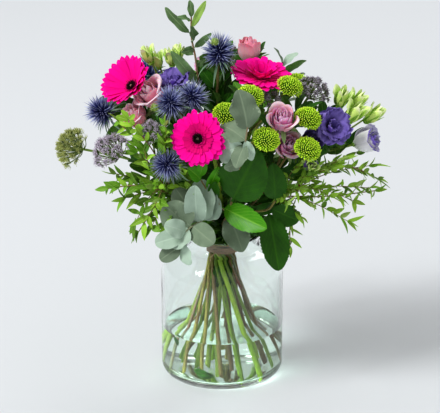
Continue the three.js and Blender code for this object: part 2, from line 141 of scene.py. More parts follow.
for name, place, side, watts in LAMPS:
    lamp = bpy.data.lights.new(name, "AREA")
    lamp.size, lamp.energy = side, watts
    softbox = placed(name, lamp)
    softbox.location = place
    softbox.rotation_euler = (LAMPS_AIM - Vector(place)).to_track_quat("-Z", "Y").to_euler()

# ==== Vase ====
# A bottle vase of clear soda-lime glass, blown into a mould: a straight body on a thick rounded base, a round
# shoulder, and a short neck whose lip is melted smooth in the flame.
_, vase_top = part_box("vase")
RADIUS, HEIGHT = vase_top[0] / MM, vase_top[2] / MM
WALL = 4.0
LIP = WALL / 2
HEEL, INNER_HEEL = 13.5, 12.0
FLOOR_GLASS = 8.0
FLOOR_DOME = ((35, 0.4), (0, 0.8))  # the floor's inside rises to its middle by this much at these radii
SHOULDER_LOW, SHOULDER_TOP = 138.0, 176.0
NECK = 47.0
BODY_LOW, BODY_HIGH = 45, 92
GLASS_SIDES = 128
RNG = np.random.default_rng(12)


def arc(centre, radii, start, end, count):
    """Points of a quarter ellipse: centre plus radii times cosine and sine of angles from start to end
    degrees."""
    angle = np.radians(np.linspace(start, end, count))
    return np.stack((centre[0] + radii[0] * np.cos(angle), centre[1] + radii[1] * np.sin(angle)), axis=-1)


def lathe(profile, sides):
    """A profile of (radius, height) turned round Z: x and y are the radius times cosine and sine of the
    angle."""
    radius, height = np.asarray(profile, float).T[:, :, None]
    angle = np.linspace(0, 2 * np.pi, sides + 1)[None]
    points = np.broadcast_arrays(radius * np.cos(angle), radius * np.sin(angle), height)
    return np.stack(points, axis=-1)[None]


def body(points, kind=0, tone=0.5):
    """One closed skin as a list of one grid, with the number of its material and its shade."""
    return [(points, kind, tone, 0)]


def grown(name, node, grids, materials):
    """Makes one piece of grids of points in millimetres, each (copies, along, across, xyz). Every four
    neighbouring points are a quad with the material that the grid names. The UV map "blade" runs across and
    along each copy from 0 to 1, "tone" is each copy's own shade, and "under" marks the underside. Points that
    meet are welded."""
    layers = []
    start = 0
    for points, kind, tone, under in grids:
        copies, rows, columns = points.shape[:3]
        index = np.arange(copies * rows * columns).reshape(copies, rows, columns)
        quad = np.stack((index[:, :-1, :-1], index[:, :-1, 1:], index[:, 1:, 1:], index[:, 1:, :-1]), -1)
        across, along = np.meshgrid(np.linspace(0, 1, columns), np.linspace(0, 1, rows))
        blade = np.broadcast_to(np.stack((across, along), -1), (copies, rows, columns, 2)).reshape(-1, 2)
        quad = quad.reshape(-1, 4)
        layers.append((
            points.reshape(-1, 3) * MM, quad + start, blade[quad.ravel()], np.full(len(quad), kind),
            np.repeat(tone, len(quad) // copies), np.full(len(quad), float(under)),
        ))
        start += index.size
    corners, quads, blades, kinds, tones, unders = (np.concatenate(layer) for layer in zip(*layers))
    mesh = bpy.data.meshes.new(name)
    mesh.vertices.add(len(corners))
    mesh.vertices.foreach_set("co", corners.ravel())
    mesh.loops.add(quads.size)
    mesh.loops.foreach_set("vertex_index", quads.ravel())
    mesh.polygons.add(len(quads))
    mesh.polygons.foreach_set("loop_start", np.arange(0, quads.size, 4))
    mesh.polygons.foreach_set("material_index", kinds)
    mesh.update(calc_edges=True)
    mesh.uv_layers.new(name="blade").data.foreach_set("uv", blades.ravel())
    mesh.attributes.new("tone", "FLOAT", "FACE").data.foreach_set("value", tones)
    mesh.attributes.new("under", "FLOAT", "FACE").data.foreach_set("value", unders)
    weld = bmesh.new()
    weld.from_mesh(mesh)
    bmesh.ops.remove_doubles(weld, verts=weld.verts, dist=1e-6)
    weld.to_mesh(mesh)
    weld.free()
    mesh.set_sharp_from_angle(angle=math.radians(75))
    for material in materials:
        mesh.materials.append(material)
    piece = placed(name, mesh)
    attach(piece, "root")
    if node:
        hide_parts(node)


def clear_matter(name, tint, shadow_tint, index, wave_scale, wave_height):
    """Clear smooth matter that bends light by its index, and whose slight waves bend the reflections. Lamps
    still shine through it: to a shadow ray it is plain tinted air."""
    material, tree = bare_material(name)
    place = add(tree, "TexCoord", out="Object")
    waves = add(tree, "TexNoise", {"Vector": place, "Scale": wave_scale, "Detail": 1.0})
    bump = add(tree, "Bump", {"Height": waves, "Strength": wave_height, "Distance": 0.002})
    shader = add(tree, "BsdfPrincipled", {
        "Base Color": linear(tint), "Roughness": 0.0, "IOR": index, "Transmission Weight": 1.0,
        "Normal": bump,
    })
    clear = add(tree, "BsdfTransparent", {"Color": linear(shadow_tint)})
    in_shadow = add(tree, "LightPath", out="Is Shadow Ray")
    add(tree, "OutputMaterial", {0: add(tree, "MixShader", {0: in_shadow, 1: shader, 2: clear})})
    return material


# Soda-lime glass is flame smooth and faintly green, and shows the slight waves of its mould.
blown_glass = clear_matter("blown_glass", "#fbfffd", "#fbfefd", 1.5, 28.0, 0.12)
shoulder = np.array((RADIUS - NECK, SHOULDER_TOP - SHOULDER_LOW))
vase_profile = np.concatenate((
    [(0, 1.0), (35, 0.9), (58, 0.3)], arc((RADIUS - HEEL, HEEL), (HEEL, HEEL), -88, 0, 12),
    [(RADIUS, BODY_LOW), (RADIUS, BODY_HIGH)], arc((NECK, SHOULDER_LOW), shoulder, 0, 80, 18),
    [(NECK + 1.2, SHOULDER_TOP + 2.6), (NECK, SHOULDER_TOP + 7), (NECK + 0.7, HEIGHT - 4)],
    arc((NECK - 0.8, HEIGHT - LIP), (LIP, LIP), 10, 170, 8), [(NECK - WALL, SHOULDER_TOP + 4)],
    arc((NECK - WALL, SHOULDER_LOW), shoulder - (0, WALL), 80, 0, 18),
    [(RADIUS - WALL, BODY_HIGH), (RADIUS - WALL, BODY_LOW)],
    arc((RADIUS - WALL - INNER_HEEL, FLOOR_GLASS + INNER_HEEL), (INNER_HEEL, INNER_HEEL), 0, -88, 12),
    [(radius, FLOOR_GLASS + rise) for radius, rise in FLOOR_DOME],
))
grown("bottle_vase", "vase", body(lathe(vase_profile, GLASS_SIDES)), [blown_glass])

# ==== Water ====
# Tap water with a breath of green from the stems, about a third of the vase. It wets the glass, so its edge
# climbs the wall a little. It has a mirror-smooth surface with a faint ripple.
WATER_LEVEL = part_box("water")[1][2] / MM
WETTED = 0.15  # how far the water reaches into the glass, so that no air shows between them
MENISCUS, MENISCUS_WIDE = 1.6, 9

still_water = clear_matter("still_water", "#f6fff9", "#fafefb", 1.333, 40.0, 0.15)
wet_radius = RADIUS - WALL + WETTED
climb = np.linspace(1, 0, 8)
meniscus = np.stack((wet_radius - MENISCUS_WIDE * (1 - climb), WATER_LEVEL + MENISCUS * climb**3), axis=-1)
water_profile = np.concatenate((
    [(radius, FLOOR_GLASS + rise - WETTED) for radius, rise in FLOOR_DOME[::-1]],
    arc((wet_radius - INNER_HEEL, FLOOR_GLASS + INNER_HEEL - WETTED), (INNER_HEEL, INNER_HEEL), -88, 0, 12),
    [(wet_radius, BODY_LOW - 5)], meniscus, [(30, WATER_LEVEL), (0, WATER_LEVEL)],
))
grown("vase_water", "water", body(lathe(water_profile, GLASS_SIDES)), [still_water])

# ==== Twine ====
# Two-ply jute twine, wound five times round the stems in the neck and tied in a plain knot at the front left.
# Its fibres stand out a little, so it looks dry and hairy beside the stems.
WOUND_RADIUS = 19.0
TURNS, TURN_PITCH, TURN_SAMPLES = 5, 2.3, 140
TWINE_LOW = 168.4
PLY_RADIUS, PLY_OFFSET, TWIST = 0.72, 0.58, 5.5
KNOT = np.array((-8.6, -18.6, 173.5))
TAIL_START, TAIL_SAG = (0, -1.2, 0), (0, -3.0, 0)
TAIL_REACHES = ((-7.0, -1.0, -13.0), (6.0, -1.5, -9.0))


def unit(vectors):
    """Each vector divided by its own length."""
    vectors = np.asarray(vectors, float)
    return vectors / np.linalg.norm(vectors, axis=-1, keepdims=True)


def tube(path, radius, sides=8, slant=0.0):
    """A round closed tube along a path: centre plus radius times cosine and sine of an angle along two
    directions square to the path, which are kept steady by the path's flattest direction. A slant cuts the
    first end askew."""
    path = np.asarray(path, float)
    along = unit(np.gradient(path, axis=0))
    flat = np.linalg.svd(path - path.mean(0) + 1e-3 * np.eye(3)[0])[2][2]
    side = unit(np.cross(flat, along))
    over = np.cross(along, side)
    angle = np.linspace(0, 2 * np.pi, sides + 1)[None, :, None]
    ring = np.cos(angle) * side[:, None] + np.sin(angle) * over[:, None]
    radius = np.broadcast_to(radius, len(path))[:, None, None]
    wall = path[:, None] + radius * ring
    wall[0] += slant * radius[0] * np.cos(angle[0]) * along[0]
    ends = np.repeat(path[[0, -1], None], sides + 1, axis=1)
    return np.concatenate((ends[:1], wall, ends[1:]))[None]


def two_ply(path):
    """Two strands wound round a path: each centre circles the path by the ply offset once in every twist
    length."""
    steps = np.linalg.norm(np.diff(path, axis=0), axis=1)
    length = np.concatenate(((0,), np.cumsum(steps)))
    along = unit(np.gradient(path, axis=0))
    over = unit(np.cross(along, (0.01, 0.02, 1)))
    up = np.cross(over, along)
    strands = []
    for half in (0, np.pi):
        angle = (2 * np.pi * length / TWIST + half)[:, None]
        strands += body(tube(path + PLY_OFFSET * (np.cos(angle) * over + np.sin(angle) * up), PLY_RADIUS, 6))
    return strands


def jute():
    """Two-ply jute, spun rough: matte straw brown fibres with darker flecks and lighter loose hairs."""
    material, tree = bare_material("jute_twine")
    place = add(tree, "TexCoord", out="Object")
    fibre = add(tree, "TexNoise", {"Vector": place, "Scale": 1400.0, "Detail": 3.0})
    shade = add(tree, "ValToRGB", {"Fac": fibre}, stops=((0.3, "#a88058"), (0.7, "#e8c8a0")))
    bump = add(tree, "Bump", {"Height": fibre, "Strength": 0.8, "Distance": 0.0004})
    shader = add(tree, "BsdfPrincipled", {
        "Base Color": shade, "Roughness": 0.9, "Sheen Weight": 0.4, "Normal": bump,
    })
    add(tree, "OutputMaterial", {0: shader})
    return material


wound = np.linspace(0, TURNS, TURNS * TURN_SAMPLES)
wobble = 0.35 * np.sin(6 * np.pi * wound + 1) + 0.25 * np.sin(2 * np.pi * 5.3 * wound)
angle = 2 * np.pi * wound - 2.0
reach = WOUND_RADIUS + 0.2 * wobble
winding = np.stack((
    reach * np.cos(angle), reach * np.sin(angle), TWINE_LOW + TURN_PITCH * wound + wobble,
), axis=-1)
loop = np.linspace(0, 2 * np.pi, 40)
knot = KNOT + np.stack((
    2.2 * np.cos(loop) + 0.8 * np.cos(2 * loop), 1.1 * np.sin(2 * loop) - 0.6, 3.0 * np.sin(loop),
), axis=-1)
run = np.linspace(0, 1, 24)[:, None]
tails = [KNOT + TAIL_START + run * reach + np.array(TAIL_SAG) * np.sin(np.pi * run) for reach in TAIL_REACHES]
strands = [strand for path in (winding, knot, *tails) for strand in two_ply(path)]
grown("jute_tie", "twine", strands, [jute()])

# ==== Stems ====
# Thirty fresh stems, cut at a slant and laid one by one in a spiral, so that below the tie they lean round
# the axis like the ribs of a basket, and above it each bends out to its flowers. The heads are (name, centre,
# facing).
FLOWERS = {  # rings are counted out from the middle of the tie, and a bud is (x, y, z, size)
    "gerbera_stem_left": {"ring": 1, "heads": [("gerbera_left", (-112, -47, 403), (-0.5, -0.55, 0.65))]},
    "gerbera_stem_front": {"ring": 1, "heads": [("gerbera_front", (-29, -125, 359), (-0.26, -0.93, 0.25))]},
    "gerbera_stem_top": {"ring": 0, "heads": [("gerbera_top", (48, -40, 413), (0.12, -0.28, 1))]},
    "thistle_stem_left": {"ring": 2, "fork": (-68, 22, 305),
        "heads": [("thistle_left", (-149, -45, 369)), ("thistle_back", (-95, 62, 390))]},
    "thistle_stem_top": {"ring": 0, "fork": (-6, -28, 345),
        "heads": [("thistle_top", (-4, -55, 447), (0.05, -0.3, 1)), ("thistle_centre", (-36, -85, 399))]},
    "thistle_stem_front": {"ring": 1, "fork": (-38, -62, 280),
        "heads": [("thistle_middle", (-62, -95, 395)), ("thistle_low", (-66, -116, 324))]},
    "rose_stem_top": {"ring": 0, "heads": [("rose_top", (34, 12, 438), (0.05, 0.05, 1))]},
    "rose_stem_left": {"ring": 1, "heads": [("rose_left", (-89, -62, 396))]},
    "rose_stem_far_left": {"ring": 2, "heads": [("rose_far_left", (-108, -66, 370))]},
    "rose_stem_front": {"ring": 1, "via": (38, -46, 300),
        "heads": [("rose_front", (73, -104, 376), (0.22, -0.66, 0.72))]},
    "rose_stem_low": {"ring": 1, "via": (58, -44, 290),
        "heads": [("rose_low", (82, -86, 337), (0.25, -0.85, 0.45))]},
    "rose_stem_back": {"ring": 1, "heads": [("rose_back", (-20, 85, 392))]},
    "santini_stem_centre": {"ring": 1, "fork": (20, -42, 325),
        "heads": [("santini_centre", (34, -95, 404)), ("santini_inner", (5, -100, 383)),
            ("santini_right", (83, -60, 406))]},
    "santini_stem_front": {"ring": 2, "fork": (62, -72, 290),
        "heads": [("santini_outer", (105, -92, 375)), ("santini_front", (53, -127, 359)),
            ("santini_low", (104, -114, 343))]},
    "santini_stem_back": {"ring": 2, "fork": (45, 55, 320),
        "heads": [("santini_back", (36, 85, 408)), ("santini_back_right", (98, 50, 380))]},
    "lisianthus_stem_right": {"ring": 2, "fork": (92, -38, 290),
        "heads": [("lisianthus_open", (135, -80, 361), (0.45, -0.8, 0.4)),
            ("lisianthus_furled", (108, -76, 340), (0.4, -0.7, 0.6))],
        "buds": [(110, -97, 317, 7)]},
    "lisianthus_stem_far_right": {"ring": 2, "fork": (108, -8, 296),
        "heads": [("lisianthus_closed", (180, -45, 331), (0.8, -0.35, 0.35))],
        "buds": [(149, -35, 384, 10), (167, -28, 378, 10), (164, -42, 367, 11), (188, -28, 361, 10)]},
    "lisianthus_stem_left": {"ring": 1, "fork": (-52, -12, 340),
        "heads": [("lisianthus_left", (-64, -50, 417))],
        "buds": [(-92, -22, 436, 8.5), (-81, -15, 428, 8), (-64, -17, 432, 8.5), (-55, -14, 437, 7.5)]},
}
FOLIAGE = {  # paths are above the tie, a dome is (x, y, z, diameter), and a leaf is (base, tip, width)
    "trachelium_left": {"ring": 2,
        "path": [(-45, -30, 255), (-80, -50, 290), (-136, -80, 328)],
        "twigs": [[(-80, -50, 290), (-84, -80, 330), (-86, -98, 358)]],
        "domes": [(-136, -80, 328, 50), (-86, -98, 358, 32)]},
    "trachelium_right": {"ring": 1,
        "path": [(40, -12, 280), (80, -28, 340), (112, -40, 394)],
        "twigs": [[(40, -12, 280), (52, -45, 350), (59, -62, 388)], [(40, -12, 280), (20, 30, 350),
            (6, 47, 412)]],
        "domes": [(112, -40, 394, 42), (59, -62, 388, 28), (6, 47, 412, 44)]},
    "wild_umbel": {"ring": 2,
        "path": [(-45, -8, 250), (-105, -3, 288), (-190, 2, 308)],
        "domes": [(-190, 2, 308, 50)]},
    "eucalyptus_top": {"ring": 0,
        "path": [(-28, -28, 330), (-28, -43, 388), (-33, -40, 437), (-38, -36, 463), (-38, -33, 487)],
        "leaves": [((-38, -36, 466), (-70, -36, 500), 14), ((-39, -34, 482), (-55, -50, 491), 9),
            ((-38, -33, 485), (-40, -28, 507), 10), ((-36, -34, 472), (-20, -40, 509), 11),
            ((-38, -38, 456), (-39, -60, 482), 15), ((-34, -38, 449), (-13, -45, 470), 10),
            ((-34, -38, 447), (-50, -60, 449), 14), ((-28, -44, 402), (-63, -60, 451), 18),
            ((-32, -42, 427), (-19, -55, 442), 9)]},
    "eucalyptus_centre": {"ring": 2,
        "path": [(8, -52, 232), (19, -108, 308), (24, -130, 338), (28, -138, 361), (30, -140, 378)],
        "leaves": [((30, -140, 376), (19, -127, 421), 34), ((28, -138, 361), (-2, -112, 372), 28),
            ((26, -135, 351), (-11, -116, 342), 31), ((27, -137, 354), (16, -148, 329), 19),
            ((22, -126, 330), (2, -138, 326), 16), ((28, -138, 361), (36, -134, 334), 13),
            ((8, -56, 234), (26, -66, 190), 32), ((9, -60, 240), (26, -84, 240), 24)]},
    "eucalyptus_low": {"ring": 2,
        "path": [(-18, -70, 236), (-29, -95, 241), (-40, -108, 238), (-48, -113, 229), (-52, -114, 213)],
        "leaves": [((-38, -106, 239), (-72, -108, 268), 43), ((-27, -93, 242), (-22, -98, 298), 40),
            ((-40, -108, 238), (-64, -116, 216), 32), ((-30, -98, 241), (-58, -96, 286), 37),
            ((-21, -84, 240), (-9, -98, 286), 32), ((-30, -98, 241), (-33, -126, 300), 29),
            ((-36, -105, 239), (-10, -122, 222), 29), ((-45, -111, 233), (-71, -124, 248), 24),
            ((-47, -112, 229), (-83, -112, 219), 25), ((-51, -113, 216), (-77, -114, 198), 21),
            ((-50, -113, 222), (-40, -122, 194), 21), ((-18, -72, 238), (-6, -84, 270), 26)]},
    "eucalyptus_back": {"ring": 2,
        "path": [(28, 30, 240), (58, 68, 300), (74, 90, 360), (80, 95, 396)],
        "leaves": [((45, 55, 275), (72, 85, 250), 28), ((45, 55, 275), (15, 88, 255), 28),
            ((60, 70, 305), (98, 95, 300), 26), ((60, 70, 305), (30, 104, 305), 26),
            ((68, 82, 338), (104, 110, 342), 24), ((68, 82, 338), (50, 118, 350), 24),
            ((75, 90, 366), (110, 100, 378), 20), ((75, 90, 366), (54, 114, 380), 20),
            ((80, 95, 388), (100, 112, 404), 14), ((80, 95, 392), (68, 100, 414), 14)]},
    "salal_front": {"ring": 2,
        "path": [(0, -40, 215), (7, -75, 245), (12, -95, 268)],
        "twigs": [[(7, -75, 245), (-15, -95, 278), (-28, -106, 303)]],
        "leaves": [((12, -95, 266), (44, -124, 346), 60), ((4, -84, 259), (55, -124, 243), 31),
            ((-26, -104, 298), (-42, -120, 320), 17), ((-28, -106, 303), (-22, -112, 330), 13),
            ((-18, -98, 285), (-4, -108, 318), 15), ((-10, -92, 270), (-8, -112, 300), 15)]},
    "salal_right": {"ring": 2,
        "path": [(22, -47, 236), (57, -82, 253), (66, -92, 268)],
        "leaves": [((57, -82, 253), (71, -100, 178), 38), ((60, -85, 257), (96, -82, 238), 28),
            ((66, -92, 268), (62, -106, 322), 30)]},
    "salal_back": {"ring": 2,
        "path": [(-22, 32, 238), (-48, 72, 268), (-60, 90, 300)],
        "twigs": [[(-48, 72, 268), (-90, 75, 300), (-128, 60, 335)]],
        "leaves": [((-90, 75, 300), (-118, 106, 284), 34), ((-112, 68, 320), (-152, 58, 302), 30),
            ((-128, 60, 335), (-160, 44, 360), 28), ((-104, 72, 310), (-108, 48, 350), 30),
            ((-50, 75, 270), (-20, 112, 232), 42), ((-48, 72, 268), (-95, 98, 250), 42),
            ((-60, 90, 300), (-38, 120, 350), 44), ((-58, 86, 292), (-86, 112, 318), 34),
            ((-40, 60, 258), (-62, 50, 200), 38)]},
    "pistacia_right": {"ring": 2,
        "path": [(40, -24, 236), (62, -44, 254), (88, -62, 272), (122, -68, 298), (158, -60, 302),
            (197, -45, 281)],
        "twigs": [[(72, -58, 263), (113, -60, 262), (150, -52, 262), (193, -45, 265)], [(72, -58, 263),
            (84, -60, 238), (86, -62, 197)]]},
    "pistacia_left": {"ring": 2,
        "path": [(-33, -35, 236), (-59, -76, 268), (-80, -92, 283), (-110, -95, 289), (-141, -85, 282)],
        "twigs": [[(-59, -76, 268), (-89, -104, 318), (-98, -108, 346), (-125, -104, 372)], [(-75, -90, 280),
            (-84, -95, 262), (-104, -94, 228)]]},
}
FURLED = ("lisianthus_furled", "lisianthus_closed")
# each kind's way from a head's centre back to its stem's end, and the straight stem behind that
SEAT = {"gerbera": (13, 34), "rose": (17, 26), "santini": (13, 16), "thistle": (13, 18),
        "lisianthus": (19, 20), "furled": (18, 16)}
SEAT_GAP = 0.3
RINGS = ((3.96, 4), (9.3, 10), (14.7, 16))  # radius and count of the rings of stems in the tie
LEAD = math.radians(65)  # how far a stem's place in the tie is ahead of its head
# the spiral is narrowest at the waist, and leans by SPREAD over FAN millimetres
WAIST, FAN, SPREAD = 174, 160, 4.3
CURVE_START, STRAIGHT_TOP = 192, 207
ROUTE_STEPS, UPPER_STEPS, SHOOT_STEPS = 40, 60, 24
LOWEST_FOOT, FOOT_RISE, FOOT_LEVELS = 9.2, 2.9, 4
KNUCKLE_SPACING, KNUCKLE_WIDE = 38, 2.2
OUTWARD_FROM = np.array((0, 0, 285))  # leaves and most heads face away from here


def kind_of(head):
    """A head's kind of flower, from its name."""
    return "furled" if head[0] in FURLED else head[0].split("_")[0]


def spiral_point(place, z):
    """A stem's place in the waist, turned and spread in proportion to the height below or above it."""
    turn = SPREAD * (WAIST - z) / FAN
    return np.array((place[0] - turn * place[1], place[1] + turn * place[0], z))


def smooth_curve(knots, count):
    """A curve through the knots: a cubic between each two, whose slopes come from the neighbouring knots
    weighted by the square roots of the distances between them. The two ends go on straight."""
    knots = np.asarray(knots, float)
    knots = np.concatenate(([2 * knots[0] - knots[1]], knots, [2 * knots[-1] - knots[-2]]))
    before, start, end, after = knots[:-3], knots[1:-2], knots[2:-1], knots[3:]
    gap = [np.sqrt(np.linalg.norm(b - a, axis=1))[:, None]
           for a, b in ((before, start), (start, end), (end, after))]
    leave = (start - before) / gap[0] - (end - before) / (gap[0] + gap[1]) + (end - start) / gap[1]
    arrive = (end - start) / gap[1] - (after - start) / (gap[1] + gap[2]) + (after - end) / gap[2]
    leave, arrive = leave * gap[1], arrive * gap[1]
    at = np.linspace(0, len(start) - 1e-6, count)
    span, t = at.astype(int), (at % 1)[:, None]
    return (start[span] * (2 * t**3 - 3 * t**2 + 1) + end[span] * (3 * t**2 - 2 * t**3)
            + leave[span] * (t**3 - 2 * t**2 + t) + arrive[span] * (t**3 - t**2))


def facing(head):
    """The way a head looks: as its row says, or away from the bouquet's middle."""
    return unit(head[2] if len(head) > 2 else np.array(head[1]) - OUTWARD_FROM)


def seat_points(head):
    """The last two points of a shoot, which ends square on the back of its head."""
    seat, neck = SEAT[kind_of(head)]
    end = np.array(head[1]) - facing(head) * (seat + SEAT_GAP)
    return [end - facing(head) * neck, end]


def plan(name, row):
    """A stem's points above the tie, then those of its shoots and of its buds' stalks."""
    if "path" in row:
        return {**row, "name": name, "points": row["path"], "shoots": row.get("twigs", [])}
    first, *others = row["heads"]
    bend = [row[key] for key in ("fork", "via") if key in row]
    shoots = [[row["fork"], *seat_points(head)] for head in others]
    shoots += [[row["fork"], bud[:3]] for bud in row.get("buds", ())]
    return {**row, "name": name, "points": [*bend, *seat_points(first)], "shoots": shoots}


def bearing(stem):
    """The direction in which a stem leaves the tie."""
    x, y, _ = stem["points"][0]
    return math.atan2(y, x)


stems = [plan(name, row) for name, row in (*FLOWERS.items(), *FOLIAGE.items())]
for ring, (ring_radius, ring_count) in enumerate(RINGS):
    # Each ring's stems take its places in the order of their heads round the bouquet.
    members = sorted((stem for stem in stems if stem["ring"] == ring), key=bearing)
    step = 2 * np.pi / ring_count
    bearings = np.array([bearing(stem) for stem in members]) + LEAD
    first_place = np.mean(bearings - step * np.arange(len(members)))
    for i, member in enumerate(members):
        angle = first_place + i * step
        member["place"] = ring_radius * np.array((np.cos(angle), np.sin(angle)))
for i, stem in enumerate(stems):
    foot = spiral_point(stem["place"], LOWEST_FOOT + FOOT_RISE * (i % FOOT_LEVELS))
    start = spiral_point(stem["place"], CURVE_START)
    above = smooth_curve([start, spiral_point(stem["place"], STRAIGHT_TOP), *stem["points"]], ROUTE_STEPS)
    stem["route"] = np.concatenate((np.linspace(foot, start, ROUTE_STEPS)[:-1], above))
    stem["upper"] = smooth_curve(stem["points"], UPPER_STEPS)
    stem["twigs"] = [smooth_curve(points, SHOOT_STEPS) for points in stem["shoots"]]


def leaf_skin(name, upper, under, vein, ribs=0.0, slope=0.35, rough=0.45, patch=0.25, rib_depth=0.3,
              coat=0.0):
    """A leaf or sepal: its skin is a soft mottle of two shades, a paler underside, a midrib, and side ribs
    that leave it at the given slope. Some leaves are older and darker than others."""
    material, tree = bare_material(name)
    place = add(tree, "TexCoord", out="Object")
    across, along, _ = add(tree, "SeparateXYZ", {0: add(tree, "UVMap", uv_map="blade")}).node.outputs
    tone = add(tree, "Attribute", out="Fac", attribute_name="tone")
    side = add(tree, "Attribute", out="Fac", attribute_name="under")
    mottle = add(tree, "TexNoise", {"Vector": place, "Scale": 120.0, "Detail": 3.0})
    shade = add(tree, "Mix", {0: mottle, 6: linear(upper[0]), 7: linear(upper[1])}, 2, data_type="RGBA")
    age = add(tree, "MapRange", {"Value": tone, "To Min": 1 - patch, "To Max": 1 + patch})
    aged = add(tree, "HueSaturation", {"Color": shade, "Value": age})
    both = add(tree, "Mix", {0: side, 6: aged, 7: linear(under)}, 2, data_type="RGBA")
    off_rib = add(tree, "Math", {0: add(tree, "Math", {0: across, 1: 0.5}, operation="SUBTRACT")},
                  operation="ABSOLUTE")
    height = add(tree, "MapRange", {
        "Value": off_rib, "From Min": 0.012, "From Max": 0.05, "To Min": 0.75, "To Max": 0.0,
    })
    if ribs:
        swept = add(tree, "Math", {0: off_rib, 1: -slope * 2, 2: along}, operation="MULTIPLY_ADD")
        wave = add(tree, "Math", {0: swept, 1: 2 * np.pi * ribs}, operation="MULTIPLY")
        crest = add(tree, "Math", {0: wave}, operation="SINE")
        rib = add(tree, "MapRange", {"Value": crest, "From Min": 0.72, "From Max": 1.0, "To Max": rib_depth})
        height = add(tree, "Math", {0: height, 1: rib}, operation="MAXIMUM")
    shader = add(tree, "BsdfPrincipled", {
        "Base Color": add(tree, "Mix", {0: height, 6: both, 7: linear(vein)}, 2, data_type="RGBA"),
        "Roughness": add(tree, "MapRange", {"Value": mottle, "To Min": rough - 0.08, "To Max": rough + 0.1}),
        "Normal": add(tree, "Bump", {"Height": height, "Strength": 0.35, "Distance": 0.0008}, invert=True),
        "Coat Weight": coat, "Coat Roughness": 0.3, "Specular IOR Level": 0.2,
    })
    add(tree, "OutputMaterial", {0: shader})
    return material


def stem_skin(name, low, high, streak, rough=0.5):
    """A stem's skin: smooth and waxy where it is green, with fine lengthwise streaks and blotches of another
    shade."""
    material, tree = bare_material(name)
    place = add(tree, "TexCoord", out="Object")
    tone = add(tree, "Attribute", out="Fac", attribute_name="tone")
    stretched = add(tree, "Mapping", {"Vector": place, "Scale": (900.0, 900.0, 60.0)})
    streaks = add(tree, "TexNoise", {"Vector": stretched, "Scale": 1.0, "Detail": 3.0})
    blotch = add(tree, "TexNoise", {"Vector": place, "Scale": 45.0, "Detail": 2.0})
    ground = add(tree, "Mix", {0: tone, 6: linear(low), 7: linear(high)}, 2, data_type="RGBA")
    much = add(tree, "Math", {0: streaks, 1: blotch}, operation="MULTIPLY")
    much = add(tree, "MapRange", {"Value": much, "From Min": 0.2, "From Max": 0.42})
    shader = add(tree, "BsdfPrincipled", {
        "Base Color": add(tree, "Mix", {0: much, 6: ground, 7: linear(streak)}, 2, data_type="RGBA"),
        "Roughness": rough, "Coat Weight": 0.15,
        "Normal": add(tree, "Bump", {"Height": streaks, "Strength": 0.4, "Distance": 0.0003}),
    })
    add(tree, "OutputMaterial", {0: shader})
    return material


def stem_tubes(stem, foot, top, twig, knuckle=0.0):
    """A stem's tubes: the radius falls evenly from foot to top, and swells at every knuckle."""
    route = stem["route"]
    length = np.cumsum(np.linalg.norm(np.gradient(route, axis=0), axis=1))
    off = (length + 11) % KNUCKLE_SPACING - KNUCKLE_SPACING / 2
    swell = knuckle * np.exp(-(off / KNUCKLE_WIDE) ** 2)
    radius = foot + (top - foot) * np.linspace(0, 1, len(route)) + swell
    tubes = body(tube(route, radius, 10, slant=0.9), 0, RNG.random())
    for path in stem["twigs"]:
        tubes += body(tube(path, np.linspace(1.15, 0.8, len(path)) * twig), 0, RNG.random())
    return tubes


green_stem = stem_skin("fresh_green_stem", "#6f9424", "#b4c862", "#5c7e1e")
pale_stem = stem_skin("pale_gerbera_stem", "#9cc430", "#bcdc50", "#86b02c", 0.55)
woody_stem = stem_skin("purple_brown_stem", "#86744a", "#aaa852", "#74563c", 0.65)
GREEN, PALE, WOODY = (green_stem, "stem_green"), (pale_stem, "stem_green"), (woody_stem, "stem_brown")
# skin and slot, then the radius at the foot and at the top, and how far the knuckles stand out
STEM_KINDS = {
    "gerbera": (*PALE, 3.0, 2.2, 0.0), "rose": (*GREEN, 2.6, 1.9, 0.4), "thistle": (*WOODY, 2.6, 1.7, 0.3),
    "santini": (*WOODY, 2.5, 1.6, 0.3), "lisianthus": (*GREEN, 2.5, 1.5, 0.5),
    "rose_stem_far_left": (*PALE, 3.6, 2.1, 0.0), "lisianthus_stem_right": (*PALE, 3.2, 1.5, 0.3),
    "lisianthus_stem_far_right": (*GREEN, 3.3, 1.6, 0.5), "santini_stem_front": (*WOODY, 2.1, 1.6, 0.3),
    "rose_stem_low": (*GREEN, 2.0, 1.7, 0.4),
}
for stem in stems[:len(FLOWERS)]:
    name = stem["name"]
    skin, slot, foot, top, knuckle = STEM_KINDS[name if name in STEM_KINDS else name.split("_")[0]]
    grown(name + "_shoot", name, stem_tubes(stem, foot, top, 1.3, knuckle), [skin])

# ==== Gerberas ====
# Mini gerberas, 69 mm across: two rows of long strap petals over a shorter row and a tight ring of small
# petals, which are painted darker and redder as the shade near the eye, and a black eye of tubular florets
# with a pale middle. The long petals' claws are painted darker too, as shade. The head stands on a green cup
# of narrow bracts.
GERBERA_RADIUS, BARE_RADIUS = 34.5, 7
GERBERA_ROWS = (  # count, root, part of the full length, half width, rise, turn, and how much steeper
    (28, 6.5, 1.0, 4.0, -3.0, 0.0, (0, 0)), (27, 6.2, 0.93, 3.9, -1.9, 0.5, (3, 5)),
    (24, 5.8, 0.5, 2.5, -1.0, 0.2, (8, 12)),
)
GERBERA_LIFT = {"gerbera_left": (44, 30), "gerbera_front": (10, 3), "gerbera_top": (24, 2)}
GERBERA_SIZE = {"gerbera_top": 1.14}
TUFTED = "gerbera_top"  # its inner petals still stand up and hide its eye
TUFT_ROWS = ((20, 16, (50, 38)), (16, 12, (72, 66)))  # count, length and lift
EYE_RADIUS, EYE_FLORETS, CENTRE_FLORETS = 5.6, 150, 16
EYE_ROWS = ((5.6, 6.0, 45), (5.0, 4.5, 62))  # root, length and lift
